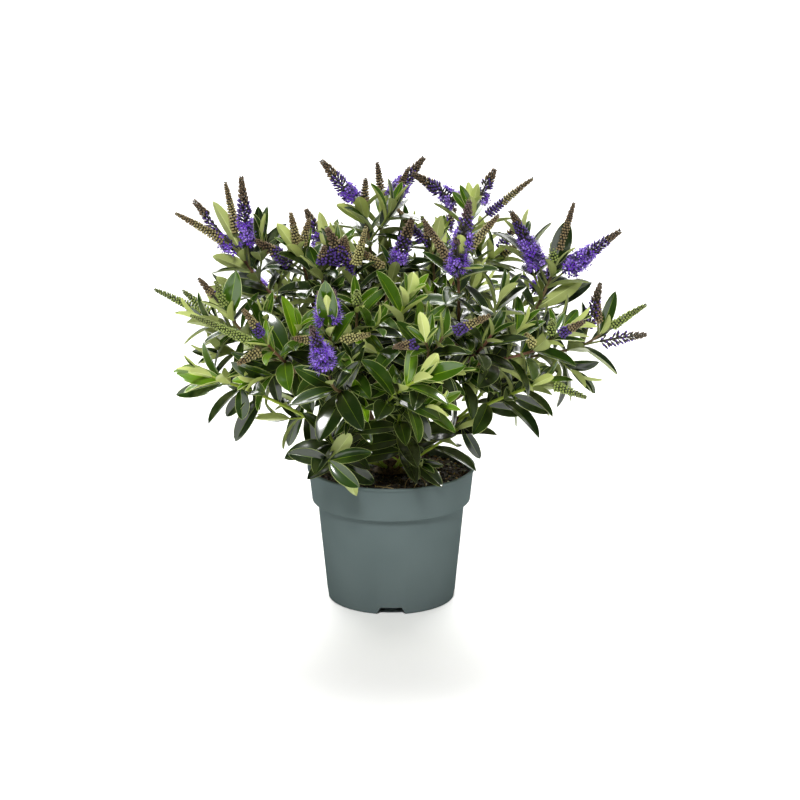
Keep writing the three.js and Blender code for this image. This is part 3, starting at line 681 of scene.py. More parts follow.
def leaf_at(shoot, pair, share, half, about, away):
    """One leaf of a pair, set crosswise to the next pair's and swung about its stem and away from it. It
    turns its upper side to the light, more so the older it is."""
    seed, key, tangent = shoot.seed, 40 * shoot.number + 2 * pair + half, shoot.curve.tangent(share)
    turn = spread(math.radians(SPREAD.roll), seed, shoot.number, 1) + (pair % 2) * math.pi / 2
    turn += half * math.pi
    turn += spread(math.radians(SPREAD.turn), seed, key, 2)
    splay = min(OLDEST_ANGLE, LEAF_ANGLE[shoot.kind] + pair * AGEING)
    angle = math.radians(splay + spread(SPREAD.angle, seed, key, 3)) + away
    size = min(1, LEAF.youngest + LEAF.growing * pair) * (1 + spread(SPREAD.leaf, seed, key, 4))
    if shoot.number:
        size *= LEAF.on_side_shoot
    foot = shoot.curve.at(share)
    way = tangent * math.cos(angle) + turned_about(tangent, turn + about) * math.sin(angle)
    upper = unit(tangent - way * tangent.dot(way))
    light = OUTWARDS * unit(np.array([foot[0], foot[1], 0])) + LIGHT
    grown = TOWARDS_LIGHT * min(1, (pair + 1) / YOUNG_PAIRS)
    upper = unit(upper + grown * (light - way * light.dot(way)))
    upper = unit(upper - way * upper.dot(way))
    youth = max(0.0, 1 - pair / YOUNG_PAIRS)
    width = mix(LEAF.width, LEAF.young_width, youth) * size * (1 + spread(WIDTH_SPREAD, seed, key, 12))
    fold, curl, rise = (mix(grown, young, youth) + spread(wide, seed, key, 13 + i)
                        for i, (grown, young, wide) in enumerate((FOLD, CURL, RISE)))
    age = leaf_age(MASSES[shoot.mass][5], pair, chance(seed, key, 11))
    return Leaf(foot, way, upper, LEAF.length * size, width, fold, curl, rise, age)


# Single leaves that stand out at the front: mass, share up its stem, lean and nod of the leaf, degrees of
# roll from facing the front, length, width and age. 180 degrees of roll shows the underside.
FRONT_LEAVES = [
    ("front_leaf", 0.99, -3, 24, 0, 52, 20, "green"), ("front_leaf", 0.995, -2, 27, 178, 43, 9, "young"),
    ("front_low_right", 0.99, 66, 22, -15, 50, 18, "green"),
    ("front_low_right", 0.985, 34, 12, 170, 36, 13, "young"),
    ("foot_front", 0.97, -76, 8, 10, 42, 16, "dark"), ("foot_front", 0.98, 74, 12, -20, 44, 15, "mid"),
    ("foot_front", 1.0, 130, 22, 15, 40, 17, "mid"), ("foot_front", 0.93, 34, 6, 185, 38, 16, "mid"),
    ("foot_front", 0.9, 66, -6, 60, 46, 9, "mid"), ("foot_front", 0.7, 120, 8, 0, 42, 17, "dark"),
    ("foot_front", 0.78, 146, 8, 200, 40, 15, "mid"), ("right_bloom", 0.995, 3, 34, 172, 36, 11, "green"),
    ("left_low", 0.86, -76, 12, 0, 48, 18, "young"), ("front_bright", 0.99, 14, 20, 160, 34, 14, "young"),
    ("front_pale", 0.985, -8, 6, 165, 34, 11, "young"), ("left_fan", 0.97, 10, 18, 0, 48, 19, "green"),
    ("left_low", 0.82, -104, 6, 0, 52, 15, "mid"), ("left_low", 0.5, -146, 5, 20, 56, 17, "dark"),
    ("left_fan", 0.9, -36, 8, 170, 46, 14, "green"), ("upper_left", 0.8, -62, 8, 160, 46, 14, "mid"),
    ("upper_left", 0.6, -72, 8, 10, 46, 15, "dark"), ("left_low", 0.7, 176, 5, -20, 34, 15, "mid"),
    ("left_low", 0.62, -136, 8, 10, 36, 14, "dark"), ("left_low", 0.35, -12, 6, 0, 36, 13, "dark"),
    ("left_inner", 0.99, -32, 4, 165, 40, 12, "green"), ("back_top_left", 0.97, 12, 0, 0, 46, 12, "green"),
    ("top_mid", 1.0, 14, 4, 170, 40, 12, "mid"), ("right_low", 0.62, 112, 8, 0, 46, 14, "dark"),
    ("right_low", 0.3, 98, 6, 0, 44, 14, "dark"), ("foot_right", 0.95, 150, 5, 0, 40, 12, "dark"),
    ("left_under", 0.75, -160, 0, 10, 54, 14, "mid"), ("left_under", 0.45, 176, 0, -10, 44, 15, "dark"),
    ("top_right", 0.99, -6, -8, 170, 30, 9, "young"), ("top_right", 0.985, -22, 4, 10, 30, 9, "green"),
    ("top_right", 0.975, 12, 0, 180, 32, 9, "green"), ("top_right", 0.97, -40, 2, 0, 30, 9, "green"),
    ("right_upper", 0.64, 56, 8, 172, 58, 15, "mid"), ("right_upper", 0.62, 66, -6, 8, 66, 14, "dark"),
    ("right_upper", 1.0, 14, 8, 0, 48, 20, "dark"), ("top_mid", 0.9, -100, 6, 0, 42, 15, "dark"),
    ("upper_left", 1.0, -28, -12, 165, 56, 13, "mid"), ("far_right", 1.0, 18, 0, 0, 46, 13, "mid"),
    ("top_behind", 0.9, 84, 4, 20, 34, 12, "mid"), ("top_left", 0.88, -52, 5, 150, 38, 13, "green"),
    ("back_top_left", 0.99, -8, 0, 170, 54, 12, "young"),
]
FRONT_LEAF = Sizes(fold=24, least_curl=12, most_curl=24, rise=6, radius=3)
# How far a flower keeps from such a leaf sideways, up and down, behind it and before it.
FLOWER_ROOM = (7, 4, 7, 16)
# How far a leaf keeps from limbs, from other leaves, sideways from the pot, and in height from its rim and
# soil. It needs no test against the pot higher than tested_below over the rim, and hangs no lower below
# the rim than hang. Other leaves see it as a line of the given radius.
LEAF_ROOM = Sizes(limb=1.2, leaf=0.8, pot=1, rim=1.5, tested_below=20, hang=10, radius=1.2)


def front_leaf(number, mass, share, lean, nod, roll, length, width, age):
    way, roll = pointing(lean, nod), math.radians(roll)
    facing = np.array([0, -1.0, 0.25])
    facing = unit(facing - way * facing.dot(way))
    upper = facing * math.cos(roll) + np.cross(way, facing) * math.sin(roll)
    curl = mix(FRONT_LEAF.least_curl, FRONT_LEAF.most_curl, chance(SEED, number, 17))
    return Leaf(stems[mass].at(share), way, upper, length, width, FRONT_LEAF.fold, curl,
                FRONT_LEAF.rise, age)


front_leaves = [(form[0], front_leaf(number, *form)) for number, form in enumerate(FRONT_LEAVES)]
front_points = np.concatenate([leaf.spine(np.linspace(0.1, 1, 12))[0] for _, leaf in front_leaves])


def covers_a_leaf(point):
    """Whether a flower's end would stand in or before one of the single leaves at the front."""
    off, (aside, up, behind, before) = point - front_points, FLOWER_ROOM
    return bool(np.any((np.abs(off[:, 0]) < aside) & (np.abs(off[:, 2]) < up)
                       & (off[:, 1] < behind) & (off[:, 1] > -before)))


def clears_pot(leaf):
    """Whether what is lower than the pot's lip lies all outside the pot, or all inside above the soil."""
    points, room, rim = leaf.mesh(), LEAF_ROOM.pot, LEAF_ROOM.rim
    low = points[points[:, 2] < POT.height + rim]
    radius = np.hypot(low[:, 0], low[:, 1])
    inside = (radius < POT.collar_foot - POT.wall - room) & (low[:, 2] > SOIL_LEVEL + rim)
    hangs = points[:, 2].min() < POT.height - LEAF_ROOM.hang
    return not hangs and bool(np.all(radius > POT.lip + room) or np.all(inside))


def is_clear(leaf, owner):
    samples, _ = leaf.spine(np.array([0.3, 0.5, 0.7, 0.85, 1.0]))
    return (all(limbs.nearest(p, owner) > LEAF_ROOM.limb for p in samples)
            and all(blades.nearest(p, None) > LEAF_ROOM.leaf for p in samples[1:])
            and (samples[:, 2].min() > POT.height + LEAF_ROOM.tested_below or clears_pot(leaf)))


def grow_leaves():
    """Leaves from the tips down, each swung aside if it meets something, and left out if it still does."""
    for mass, leaf in front_leaves:
        blades.add(leaf.spine(np.linspace(0.3, 1, 9))[0], FRONT_LEAF.radius, (mass, 0))
        yield mass, leaf
    planned = [(shoot, pair, share, half) for shoot in shoots for pair, share in leafy_pairs(shoot)
               for half in (0, 1)]
    for plan in sorted(planned, key=lambda plan: plan[1]):
        owner = (plan[0].mass, plan[0].number)
        for swing in SWINGS:
            leaf = leaf_at(*plan, *swing)
            if is_clear(leaf, owner):
                blades.add(leaf.spine(np.linspace(0.35, 1, 7))[0], LEAF_ROOM.radius, owner)
                yield owner[0], leaf
                break


# ---- Sides of the crown: each kind of growth is joined into one piece for each side ----

SIDES = ("left", "middle", "right", "back")


def side_of(mass):
    x, y, _ = MASSES[mass][1]
    return "back" if y > 30 else "left" if x < -45 else "right" if x > 60 else "middle"


def pieces_by_side(kind, slot, materials):
    return {side: Piece(f"{kind}_{side}", slot, materials) for side in SIDES}


def make_leaves():
    pieces = pieces_by_side("leaves", "foliage", leaf_materials())
    for mass, leaf in grow_leaves():
        piece = pieces[side_of(mass)]
        looks = np.array([piece.index[f"leaf_{leaf.age}_{zone}"] for zone in LEAF_ZONES])
        piece.add(leaf.mesh(), LEAF_TRIANGLES, looks[LEAF_LOOKS])
    for side, piece in pieces.items():
        leaves = piece.make()
        leaves.data.set_sharp_from_angle(angle=math.radians(48))
        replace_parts(leaves, *[f"mass_{mass}" for mass in MASSES if side_of(mass) == side])


# ---- Twigs ----

TWIG_COLOURS = {"brown": (104, 86, 54), "red_brown": (108, 74, 52), "olive": (118, 130, 58),
                "green": (156, 176, 58)}
TWIG = Sizes(slimmer=0.82, swelling=0.4, swelling_reach=1.1)
YELLOW_STEMS = NO_TWIGLETS | {"left_under", "foot_middle", "front_bright"}


def stem_look(shoot):
    if shoot.mass in YELLOW_STEMS:
        return "twig_green"
    if shoot.number:
        return "twig_olive"
    return "twig_red_brown" if chance(shoot.seed, 0, 16) < 0.3 else "twig_brown"


def make_twigs():
    """Stems with a swollen joint under each leaf pair, and the forks sunk into their boughs."""
    materials = plant_materials("twig", TWIG_COLOURS, 0.55, grain=420, relief=0.00025)
    pieces = pieces_by_side("twigs", "bark", materials)
    for shoot in shoots:
        length = shoot.curve.length
        shares = np.linspace(0, 1, max(4, int(length / 2)))
        centres = shoot.curve.at(shares)
        joints = np.array([node_down(shoot.kind, pair) for pair in range(shoot.pairs)])
        from_joint = np.abs((1 - shares)[:, None] * length - joints).min(1)
        swelling = TWIG.swelling * np.exp(-(from_joint / TWIG.swelling_reach) ** 2)
        radii = mix(shoot.foot, shoot.tip, shares) * TWIG.slimmer + swelling
        if shoot.root is not None:
            centres = np.vstack([shoot.root, centres])
            radii = np.append(radii[0], radii)
        limb = tube(centres, radii, 7 if shoot.number else 10)
        pieces[side_of(shoot.mass)].add(*limb, stem_look(shoot))
    for piece in pieces.values():
        piece.make()


# ---- Buds and flowers ----


def outward(points, triangles):
    """The same triangles, all facing away from the solid's middle."""
    volume = np.einsum("ij,ij->", points[triangles[:, 0]],
                       np.cross(points[triangles[:, 1]], points[triangles[:, 2]]))
    return triangles if volume > 0 else triangles[:, ::-1]


def turned(marks, sides, first, last):
    """A closed skin round the X axis through marks of (distance along it, radius)."""
    rings = [[(x, r * math.cos(a), r * math.sin(a)) for a in round_angles(sides)] for x, r in marks]
    points, triangles = skin(np.array(rings), (first, 0, 0), (last, 0, 0))
    return points, outward(points, triangles)


def bud_template(foot, neck):
    """A pointed bud along X, one long and one in radius: calyx (zone 0) up to the neck, then its tip (1)."""
    points, triangles, zones = one_zone(*turned(((foot, 0.8), (neck, 1.0)), 6, 0, 1))
    zones[-6:] = 1
    return points, triangles, zones


def blade(base, tip, side, cup, thickness):
    """A thin petal: a diamond from base to tip, side wide each way, with a keel above and below."""
    base, tip = np.array(base), np.array(tip)
    middle, normal = mix(base, tip, 0.6), unit(np.cross(tip - base, side))
    points = np.array([base, middle + side + cup * normal, tip, middle - side + cup * normal,
                       middle + normal * thickness, middle - normal * thickness])
    triangles = [(4, 1, 0), (4, 2, 1), (4, 3, 2), (4, 0, 3), (5, 0, 1), (5, 1, 2), (5, 2, 3), (5, 3, 0)]
    return points, outward(points - middle, np.array(triangles))


def thread(start, end, thickness):
    """A stamen's or style's fine three-sided thread."""
    start, end = np.array(start), np.array(end)
    side, front = square_to(unit(end - start))
    corners = [math.cos(a) * side + math.sin(a) * front for a in (0, 2.094, 4.189)]
    points = np.array([p + c * r for p, r in ((start, thickness), (end, thickness * 0.7)) for c in corners])
    triangles = [(0, 1, 4), (0, 4, 3), (1, 2, 5), (1, 5, 4), (2, 0, 3), (2, 3, 5), (0, 2, 1), (3, 4, 5)]
    return points, outward(points - points.mean(0), np.array(triangles))


def knob(centre, radius, stretch):
    """A small eight-faced anther or crumb, longer along X."""
    half = np.array([(stretch, 0, 0), (0, 1, 0), (0, 0, 1)]) * radius
    triangles = [(0, 1, 2), (1, 3, 2), (3, 4, 2), (4, 0, 2), (1, 0, 5), (3, 1, 5), (4, 3, 5), (0, 4, 5)]
    return np.array(centre) + np.concatenate([half, -half]), np.array(triangles)


FLOWER_REACH = 10.4  # from the spike's axis to an open flower's anthers


def flower_template():
    """An open flower along X in millimetres, with these zones: its calyx (0), tube (1), four petals (2),
    two long stamens' and the style's threads (3), and the stamens' anthers (4)."""
    parts = [(*turned(((1.6, 0.8), (5.4, 0.95)), 5, 1.0, 5.6), 1)]
    for k in range(4):
        a = math.pi / 4 + k * math.pi / 2
        out, side = np.array([0, math.cos(a), math.sin(a)]), np.array([0, -math.sin(a), math.cos(a)])
        tip = (6.6 + 0.5 * (k % 2), *(3.3 * out[1:]))
        parts.append((*blade((5.2, *(0.4 * out[1:])), tip, 1.45 * side, 0.35, 0.14), 2))
    for end in ((9.6, 2.2, 0.8), (9.2, -2.0, 1.1)):
        parts += [(*thread((5.2, 0, 0.2), end, 0.24), 3), (*knob(end, 0.5, 1.5), 4)]
    parts.append((*thread((5.2, 0, 0), (9.4, 0.3, -1.8), 0.2), 3))
    calyx, calyx_triangles, _ = bud_template(0.35, 0.6)
    parts.append((calyx * (2.6, 1.1, 1.1), calyx_triangles, 0))
    offsets = np.cumsum([0] + [len(p) for p, _, _ in parts[:-1]])
    return (np.concatenate([p for p, _, _ in parts]),
            np.concatenate([t + offset for (_, t, _), offset in zip(parts, offsets)]),
            np.concatenate([np.full(len(t), zone) for _, t, zone in parts]))


# Bud colours by kind of spike: the calyx and the tip, at the spike's lower end and at its top.
BUD_ZONES = ("calyx", "tip", "top_calyx", "top_tip")
BUD_COLOURS = {
    "green": ((54, 74, 20), (146, 162, 82), (54, 70, 24), (128, 140, 72)),
    "pale": ((78, 80, 32), (180, 174, 112), (70, 68, 32), (156, 144, 94)),
    "tan": ((54, 54, 24), (154, 142, 92), (52, 46, 24), (130, 110, 72)),
    "brown": ((38, 34, 18), (134, 116, 80), (36, 30, 20), (108, 88, 62)),
    "violet": ((62, 60, 34), (100, 62, 168), (52, 46, 28), (98, 74, 78)),
    "loose": ((54, 50, 32), (84, 52, 134), (58, 54, 32), (104, 88, 70)),
}
# The darker and the paler petal colours are shaded and lit copies of the petal's own violet: painted shade
# and painted highlight, which the flowers take at random.
FLOWER_COLOURS = {"tube": (36, 16, 82), "petal_dark": (34, 10, 78), "petal": (108, 44, 204),
                  "petal_pale": (176, 138, 248), "filament": (164, 124, 244), "anther": (38, 18, 80),
                  "ripe": (72, 38, 132)}
SPIKE_FORM = Sizes(row_gap=3.1, top_row_gap=2.2, around=9, top_around=6, core=1.6,
                   open=0.55, ripe=0.28, bud_radius=1.35, top_bud_radius=0.85, loose_gap=4.6,
                   loose_around=6)
AXIS_RADIUS = 0.9  # where buds and flowers stand on a spike's axis
FIRST_BLOOM = 0.35  # a spike with a smaller share in bloom shows only ripe buds there


def spike_reach(spike, up):
    """How far buds and flowers stand out from a spike's axis, by the share of its flowering length."""
    bud = 1.3 + 4.5 * (1 - up**1.5) ** 0.9
    if spike.tint == "loose":
        return 1.25 * bud + 2.6 * (1 - up)
    bloom = 2.2 + mix(8.9, 13.4, spike.bloom) * (1 - up) ** 0.85
    return mix(bud, bloom, min(1.0, spike.bloom / 0.45) ** 2)


def spike_rows(spike):
    """Rows up a spike as shares of its flowering length, closer towards its tip."""
    rows, up = [], 0.0
    length = (1 - SPIKE.stalk) * spike.curve.length
    low_gap = SPIKE_FORM.loose_gap if spike.tint == "loose" else SPIKE_FORM.row_gap
    while up < 0.985:
        rows.append(up)
        up += mix(low_gap, SPIKE_FORM.top_row_gap, up) / length
    return rows


def bud_groups(spike):
    """A spike's buds and open flowers by kind, each with its share up the spike, its place on the axis, the
    axis's direction, its turn about it, a seeded draw and its reach."""
    curve, form, loose = spike.curve, SPIKE_FORM, spike.tint == "loose"
    groups = {"closed": [], "ripe": [], "open": []}
    for row, up in enumerate(spike_rows(spike)):
        around = form.loose_around if loose else round(mix(form.around, form.top_around, up))
        for k in range(around):
            share = min(1.0, mix(SPIKE.stalk, 1, up) + form.row_gap * k / around / curve.length)
            centre, tangent = curve.at(share), curve.tangent(share)
            key = 16 * row + k
            slot = k + 0.5 * (row % 2) + spread(0.12, spike.seed, key, 20 + spike.number)
            turn = slot * 2 * math.pi / around
            reached = up + spread(0.07, spike.seed, key, 30 + spike.number) - spike.bloom * form.open
            if reached > form.ripe or not spike.bloom:
                kind = "closed"
            else:
                kind = "ripe" if reached > 0 or spike.bloom < FIRST_BLOOM or loose else "open"
            draw, reach = chance(spike.seed, key, 40 + spike.number), spike_reach(spike, up)
            if kind == "closed" or not covers_a_leaf(centre + turned_about(tangent, turn) * reach):
                groups[kind].append((up, centre, tangent, turn, draw, reach))
    return groups


def make_blossom():
    """Buds in rows round each spike, and open flowers over its share in bloom."""
    looks = [material for tint, colours in BUD_COLOURS.items()
             for material in plant_materials(f"bud_{tint}", dict(zip(BUD_ZONES, colours)), 0.55)]
    looks += plant_materials("flower", FLOWER_COLOURS, 0.5, sheen_weight=0.2)
    stalk_looks = [plant_material("spike_stalk", (104, 110, 58), 0.55),
                   plant_material("spike_core", (48, 44, 34), 0.7)]
    buds = pieces_by_side("buds", "foliage", looks + stalk_looks)
    flowers = pieces_by_side("flowers", "foliage", looks)
    closed, ripe, flower = bud_template(0.35, 0.66), bud_template(0.45, 0.7), flower_template()
    for spike in spikes:
        side = side_of(spike.mass)
        for first, last, rings, radius, top_radius, look in (
            (0, 1, max(6, int(spike.curve.length / 3)), 1.25, 0.45, "spike_stalk"),
            (SPIKE.stalk, 0.97, 8, SPIKE_FORM.core, 0.8, "spike_core"),
        ):
            shares = np.linspace(first, last, rings)
            buds[side].add(*tube(spike.curve.at(shares), mix(radius, top_radius, shares), 6), look)
        groups = bud_groups(spike)
        calyx, tip, top_calyx, top_tip = (f"bud_{spike.tint}_{zone}" for zone in BUD_ZONES)
        stamp_buds(buds[side], closed, groups["closed"], (calyx, tip), (top_calyx, top_tip))
        stamp_buds(buds[side], ripe, groups["ripe"], (calyx, "flower_ripe"), (top_calyx, "flower_ripe"))
        stamp_flowers(flowers[side], flower, groups["open"], calyx)
    for side in SIDES:
        buds[side].make()
        flowers[side].make()


def aimed(group, rises):
    """Feet and directions for buds or flowers that lean up their spike by the given angles."""
    feet, ways = [], []
    for (_, centre, tangent, turn, _, _), rise in zip(group, rises):
        out = turned_about(tangent, turn)
        ways.append(out * math.cos(rise) + tangent * math.sin(rise))
        feet.append(centre + out * AXIS_RADIUS)
    return np.array(feet), np.array(ways)


def columns(group):
    """A group's shares up the spike, draws and reaches."""
    return (np.array([item[i] for item in group]) for i in (0, 4, 5))


def stamp_buds(piece, template, group, low_looks, top_looks):
    if not group:
        return
    ups, draws, reaches = columns(group)
    rises = np.radians(mix(26, 66, ups**1.5))
    length = np.minimum((reaches - AXIS_RADIUS) / np.cos(rises), mix(12, 3.4, ups**1.3))
    length = length * (0.9 + 0.2 * draws)
    radius = mix(SPIKE_FORM.bud_radius, SPIKE_FORM.top_bud_radius, ups)
    table = np.array([[piece.index[n] for n in looks] for looks in (low_looks, top_looks)])
    stamp(piece, template, *aimed(group, rises), draws * 3, np.stack([length, radius], 1),
          table[(ups > 0.6).astype(int)])


def stamp_flowers(piece, template, group, calyx):
    if not group:
        return
    ups, draws, reaches = columns(group)
    length = reaches / FLOWER_REACH * (0.86 + 0.24 * ((draws * 7) % 1))
    # Each flower takes one of these at random: the shaded copy (painted shade), the petal's own colour twice
    # over, or the lit copy (painted highlight).
    petals = ("petal_dark", "petal", "petal", "petal_pale")
    table = np.array([[piece.index[n] for n in (calyx, "flower_tube", f"flower_{petal}", "flower_filament",
                                                "flower_anther")] for petal in petals])
    stamp(piece, template, *aimed(group, np.radians(mix(-6, 34, ups) + 22 * (draws - 0.5))), draws * 6.28,
          np.stack([length, mix(1.1, 0.85, ups)], 1), table[(draws * 3.999).astype(int)])


# ---- Bark ----

BARK = Sizes(sides=28, ring_gap=1.4, stool_sides=96, stool_rings=44, ridge=0.075,
             wander=0.16, rough=0.012, fork=0.9, fork_reach=3, scar=0.3, scar_gap=11,
             scar_width=0.1, rounded_end=1.5)


def grained_material(name, colour, roughness, grain, detail, fineness, stops, relief):
    """A material whose colour and relief both follow one noise."""
    material = new_material(name, colour, roughness)
    pattern = noise(material, grain, detail, fineness)
    into_shader(material, ramp(material, pattern, stops), "Color", "Base Color")
    add_bump(material, pattern, relief)
    return material


def bark_relief(rings, sides, seed):
    """Ridges that wander up a limb, and a fine roughness: shares of its radius."""
    draws = np.random.default_rng(seed)
    relief = np.ones((rings, sides))
    for ridges in (3, 5, 8, 12):
        drift = draws.uniform(0, 2 * math.pi) + np.cumsum(draws.normal(0, BARK.wander, rings))
        waves = np.sin(ridges * round_angles(sides) + drift[:, None])
        relief += BARK.ridge / math.sqrt(ridges) * waves
    return relief + draws.normal(0, BARK.rough, (rings, sides))


def make_bark():
    """Boughs that swell round their fork, with a ring of bark scars at each old leaf pair."""
    material = grained_material("bark_relief", (92, 70, 50), 0.85, 320, 6, 0.6,
                                [(0.3, (52, 38, 28)), (0.48, (92, 70, 50)), (0.6, (118, 94, 70)),
                                 (0.75, (88, 92, 64))], 0.0006)
    for seed, (name, curve) in enumerate(boughs.items()):
        rings = int(curve.length / BARK.ring_gap)
        shares = np.linspace(0, 1, rings)
        to_fork = (1 - shares) * curve.length
        radii = mix(BOUGH.foot, BOUGH.tip, shares)
        radii = radii + BARK.fork * np.exp(-(to_fork / BARK.fork_reach) ** 2)
        radii = radii * np.clip(to_fork / BARK.rounded_end, 0.35, 1) ** 0.5
        from_scar = ((shares * curve.length / BARK.scar_gap) % 1) - 0.5
        scars = BARK.scar * np.exp(-(from_scar / BARK.scar_width) ** 2)
        radii = (radii + scars)[:, None] * bark_relief(rings, BARK.sides, seed)
        limb = Piece(f"bark_bough_{name}", "bark", [material])
        limb.add(*tube(curve.at(shares), radii, BARK.sides), "bark_relief")
        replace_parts(limb.make(), f"bough_{name}")
    make_stool(material)


def make_stool(material):
    flare, neck, top, height = STOOL.flare, STOOL.neck, STOOL.top, STOOL.height
    marks = [(0, flare + 0.5), (1, flare), (0.35 * STOOL.flare_height, (flare + neck) / 2),
             (STOOL.flare_height, neck), (0.8 * height, top), (height - 1, 0.75 * top),
             (height, 0.4 * top)]
    heights = np.linspace(0, height, BARK.stool_rings)
    radii = np.interp(heights, *zip(*marks))
    foot = SOIL_LEVEL + GAP
    profile = [(0, foot), *((r, foot + h) for r, h in zip(radii, heights)), (0, foot + height + 0.5)]
    points, triangles = lathe(profile, BARK.stool_sides,
                              bark_relief(len(heights), BARK.stool_sides, 99))
    points[:, :2] += ((points[:, 2] - foot) / height)[:, None] * np.array(STOOL.lean)
    stool = Piece("bark_trunk", "bark", [material])
    stool.add(points, triangles, "bark_relief")
    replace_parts(stool.make(), "trunk")


# ---- Pot ----

POT = Sizes(height=138.5, foot=64.9, collar=103.3, collar_foot=80.3, collar_top=83.7,
            wall_at_collar=74.8, lip=85.2, lip_height=3, wall=1.5, sides=240,
            inner_floor=10.5)
CHANNEL = Sizes(count=4, height=7.5, top=21.4, bottom=29.6, start=30)


def rounded(corner, before, after, radius, steps=5):
    """An arc of points in place of a profile's corner."""
    corner, before, after = (np.array(p, float) for p in (corner, before, after))
    to_before, to_after = unit(before - corner), unit(after - corner)
    reach = radius / math.tan(math.acos(np.clip(to_before.dot(to_after), -1, 1)) / 2)
    start, end = corner + to_before * reach, corner + to_after * reach
    return [tuple(mix(mix(start, corner, t), mix(corner, end, t), t)) for t in np.linspace(0, 1, steps)]


def round_profile(marks):
    """Marks are (radius, height, rounding), from the axis and back to it."""
    profile = [marks[0][:2]]
    for before, mark, after in zip(marks, marks[1:], marks[2:]):
        profile += rounded(mark[:2], before[:2], after[:2], mark[2]) if mark[2] else [mark[:2]]
    return profile + [marks[-1][:2]]


def inner_radius(height):
    return POT.foot + (POT.wall_at_collar - POT.foot) * height / POT.collar - POT.wall


def mixed_with(material, how, first, second):
    """Two outputs, given as (node, output), joined in full by a blend."""
    new = node(material, "ShaderNodeMix")
    new.data_type, new.blend_type = "RGBA", how
    new.inputs[0].default_value = 1.0
    for socket, (source, output) in zip((6, 7), (first, second)):
        material.node_tree.links.new(source.outputs[output], new.inputs[socket])
    return new


def pot_material():
    material = new_material("grey_plastic", (93, 105, 105), 0.6, specular_ior_level=0.0)
    patches, specks = noise(material, 9, detail=2), noise(material, 520, detail=2)
    tones = ramp(material, patches, [(0.35, (90, 102, 102)), (0.65, (97, 109, 109))])
    dust = ramp(material, specks, [(0.68, (0, 0, 0)), (0.78, (22, 23, 23))])
    axes = node(material, "ShaderNodeSeparateXYZ", {"Vector": place_of(material)})
    # Painted shade: the colour darkens by up to a fifth over the pot's lowest 80 mm, standing in for the
    # weaker light low down on it.
    painted_low_shade = map_range(material, axes, "Z", 0.0, 0.08, 0.8, 1.0)
    dusty = mixed_with(material, "ADD", (tones, "Color"), (dust, "Color"))
    into_shader(material, mixed_with(material, "MULTIPLY", (dusty, 2), (painted_low_shade, "Result")), 2, "Base Color")
    add_bump(material, noise(material, 900, detail=2), 0.00005)
    return material


def channel_cutter():
    """The drainage channels' shape as one mesh, to be cut from the pot."""
    bottom, top, roof = CHANNEL.bottom / 2, CHANNEL.top / 2, CHANNEL.height
    section = [(-bottom, -10), (bottom, -10), (bottom, 0), (top, roof), (-top, roof), (-bottom, 0)]
    cutter = Piece("channel_cutter", "pot_plastic", [])
    for turn in round_angles(CHANNEL.count):
        side = np.array([math.cos(turn), math.sin(turn), 0])
        out = np.array([side[1], -side[0], 0])
        rings = np.array([[out * r + side * x + np.array([0, 0, z]) for x, z in section]
                          for r in (POT.foot + 10, CHANNEL.start)])
        points, triangles = skin(rings, rings[0].mean(0), rings[1].mean(0))
        cutter.add(points, outward(points - points.mean(0), triangles), np.zeros(len(triangles), int))
    return cutter.make(smooth=False)


def apply_modifiers(piece):
    """Puts a piece's modified shape into its mesh."""
    graph = bpy.context.evaluated_depsgraph_get()
    mesh = bpy.data.meshes.new_from_object(piece.evaluated_get(graph))
    piece.modifiers.clear()
    piece.data = mesh


def make_pot():
    wall, collar, height, floor = POT.wall, POT.collar, POT.height, POT.inner_floor
    lip_foot = height - POT.lip_height
    marks = [
        (0, 0, 0), (POT.foot, 0, 2.2), (POT.wall_at_collar, collar, 0.8),
        (POT.collar_foot, collar, 1.2), (POT.collar_top, lip_foot, 0.3), (POT.lip, lip_foot, 0.8),
        (POT.lip, height, 1.1), (POT.collar_top - wall, height, 0.9),
        (POT.collar_foot - wall, collar + wall, 0.5), (inner_radius(collar), collar + wall, 0.5),
        (inner_radius(floor), floor, 1), (0, floor, 0),
    ]
    pot = Piece("nursery_pot", "pot_plastic", [pot_material()])
    pot.add(*lathe(round_profile(marks), POT.sides), "grey_plastic")
    piece, cutter = pot.make(), channel_cutter()
    cut = piece.modifiers.new("channels", "BOOLEAN")
    cut.object, cut.operation, cut.solver = cutter, "DIFFERENCE", "EXACT"
    apply_modifiers(piece)
    bpy.data.objects.remove(cutter)
    piece.modifiers.new("soft_edges", "EDGE_SPLIT").split_angle = math.radians(38)
    apply_modifiers(piece)
    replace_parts(piece, "pot")


# ---- Potting mix and litter ----

SOIL = Sizes(rings=66, sides=168, radius=81.4, depth=24, lump=1.5, sunk=1.3, level_to=24)
GRAINS = 2600
GRAIN_COLOURS = {"peat_dark": (26, 19, 14), "peat": (44, 32, 23), "bark_chip": (82, 58, 38),
                 "straw": (156, 128, 86), "grit": (186, 182, 168), "moss": (72, 82, 42)}


def lattice_noise(x, y, cell, draws):
    """Smooth noise from 0 to 1 over a square lattice of seeded draws."""
    grid = draws.random((64, 64))
    u, v = x / cell + 32, y / cell + 32
    i, j = np.floor(u).astype(int), np.floor(v).astype(int)
    a, b = u - i, v - j
    a, b = a * a * (3 - 2 * a), b * b * (3 - 2 * b)
    return mix(mix(grid[i, j], grid[i + 1, j], a), mix(grid[i, j + 1], grid[i + 1, j + 1], a), b)


def soil_height(x, y):
    draws = np.random.default_rng(7)
    bumps = sum(share * (lattice_noise(x, y, cell, draws) - 0.5)
                for cell, share in ((14, 1.0), (6, 0.8), (3, 0.6)))
    level = SOIL.level_to
    slope = SOIL_EDGE_DROP * np.clip((np.hypot(x, y) - level) / (SOIL.radius - level), 0, 1)
    return SOIL_LEVEL - SOIL.sunk - slope + SOIL.lump * bumps


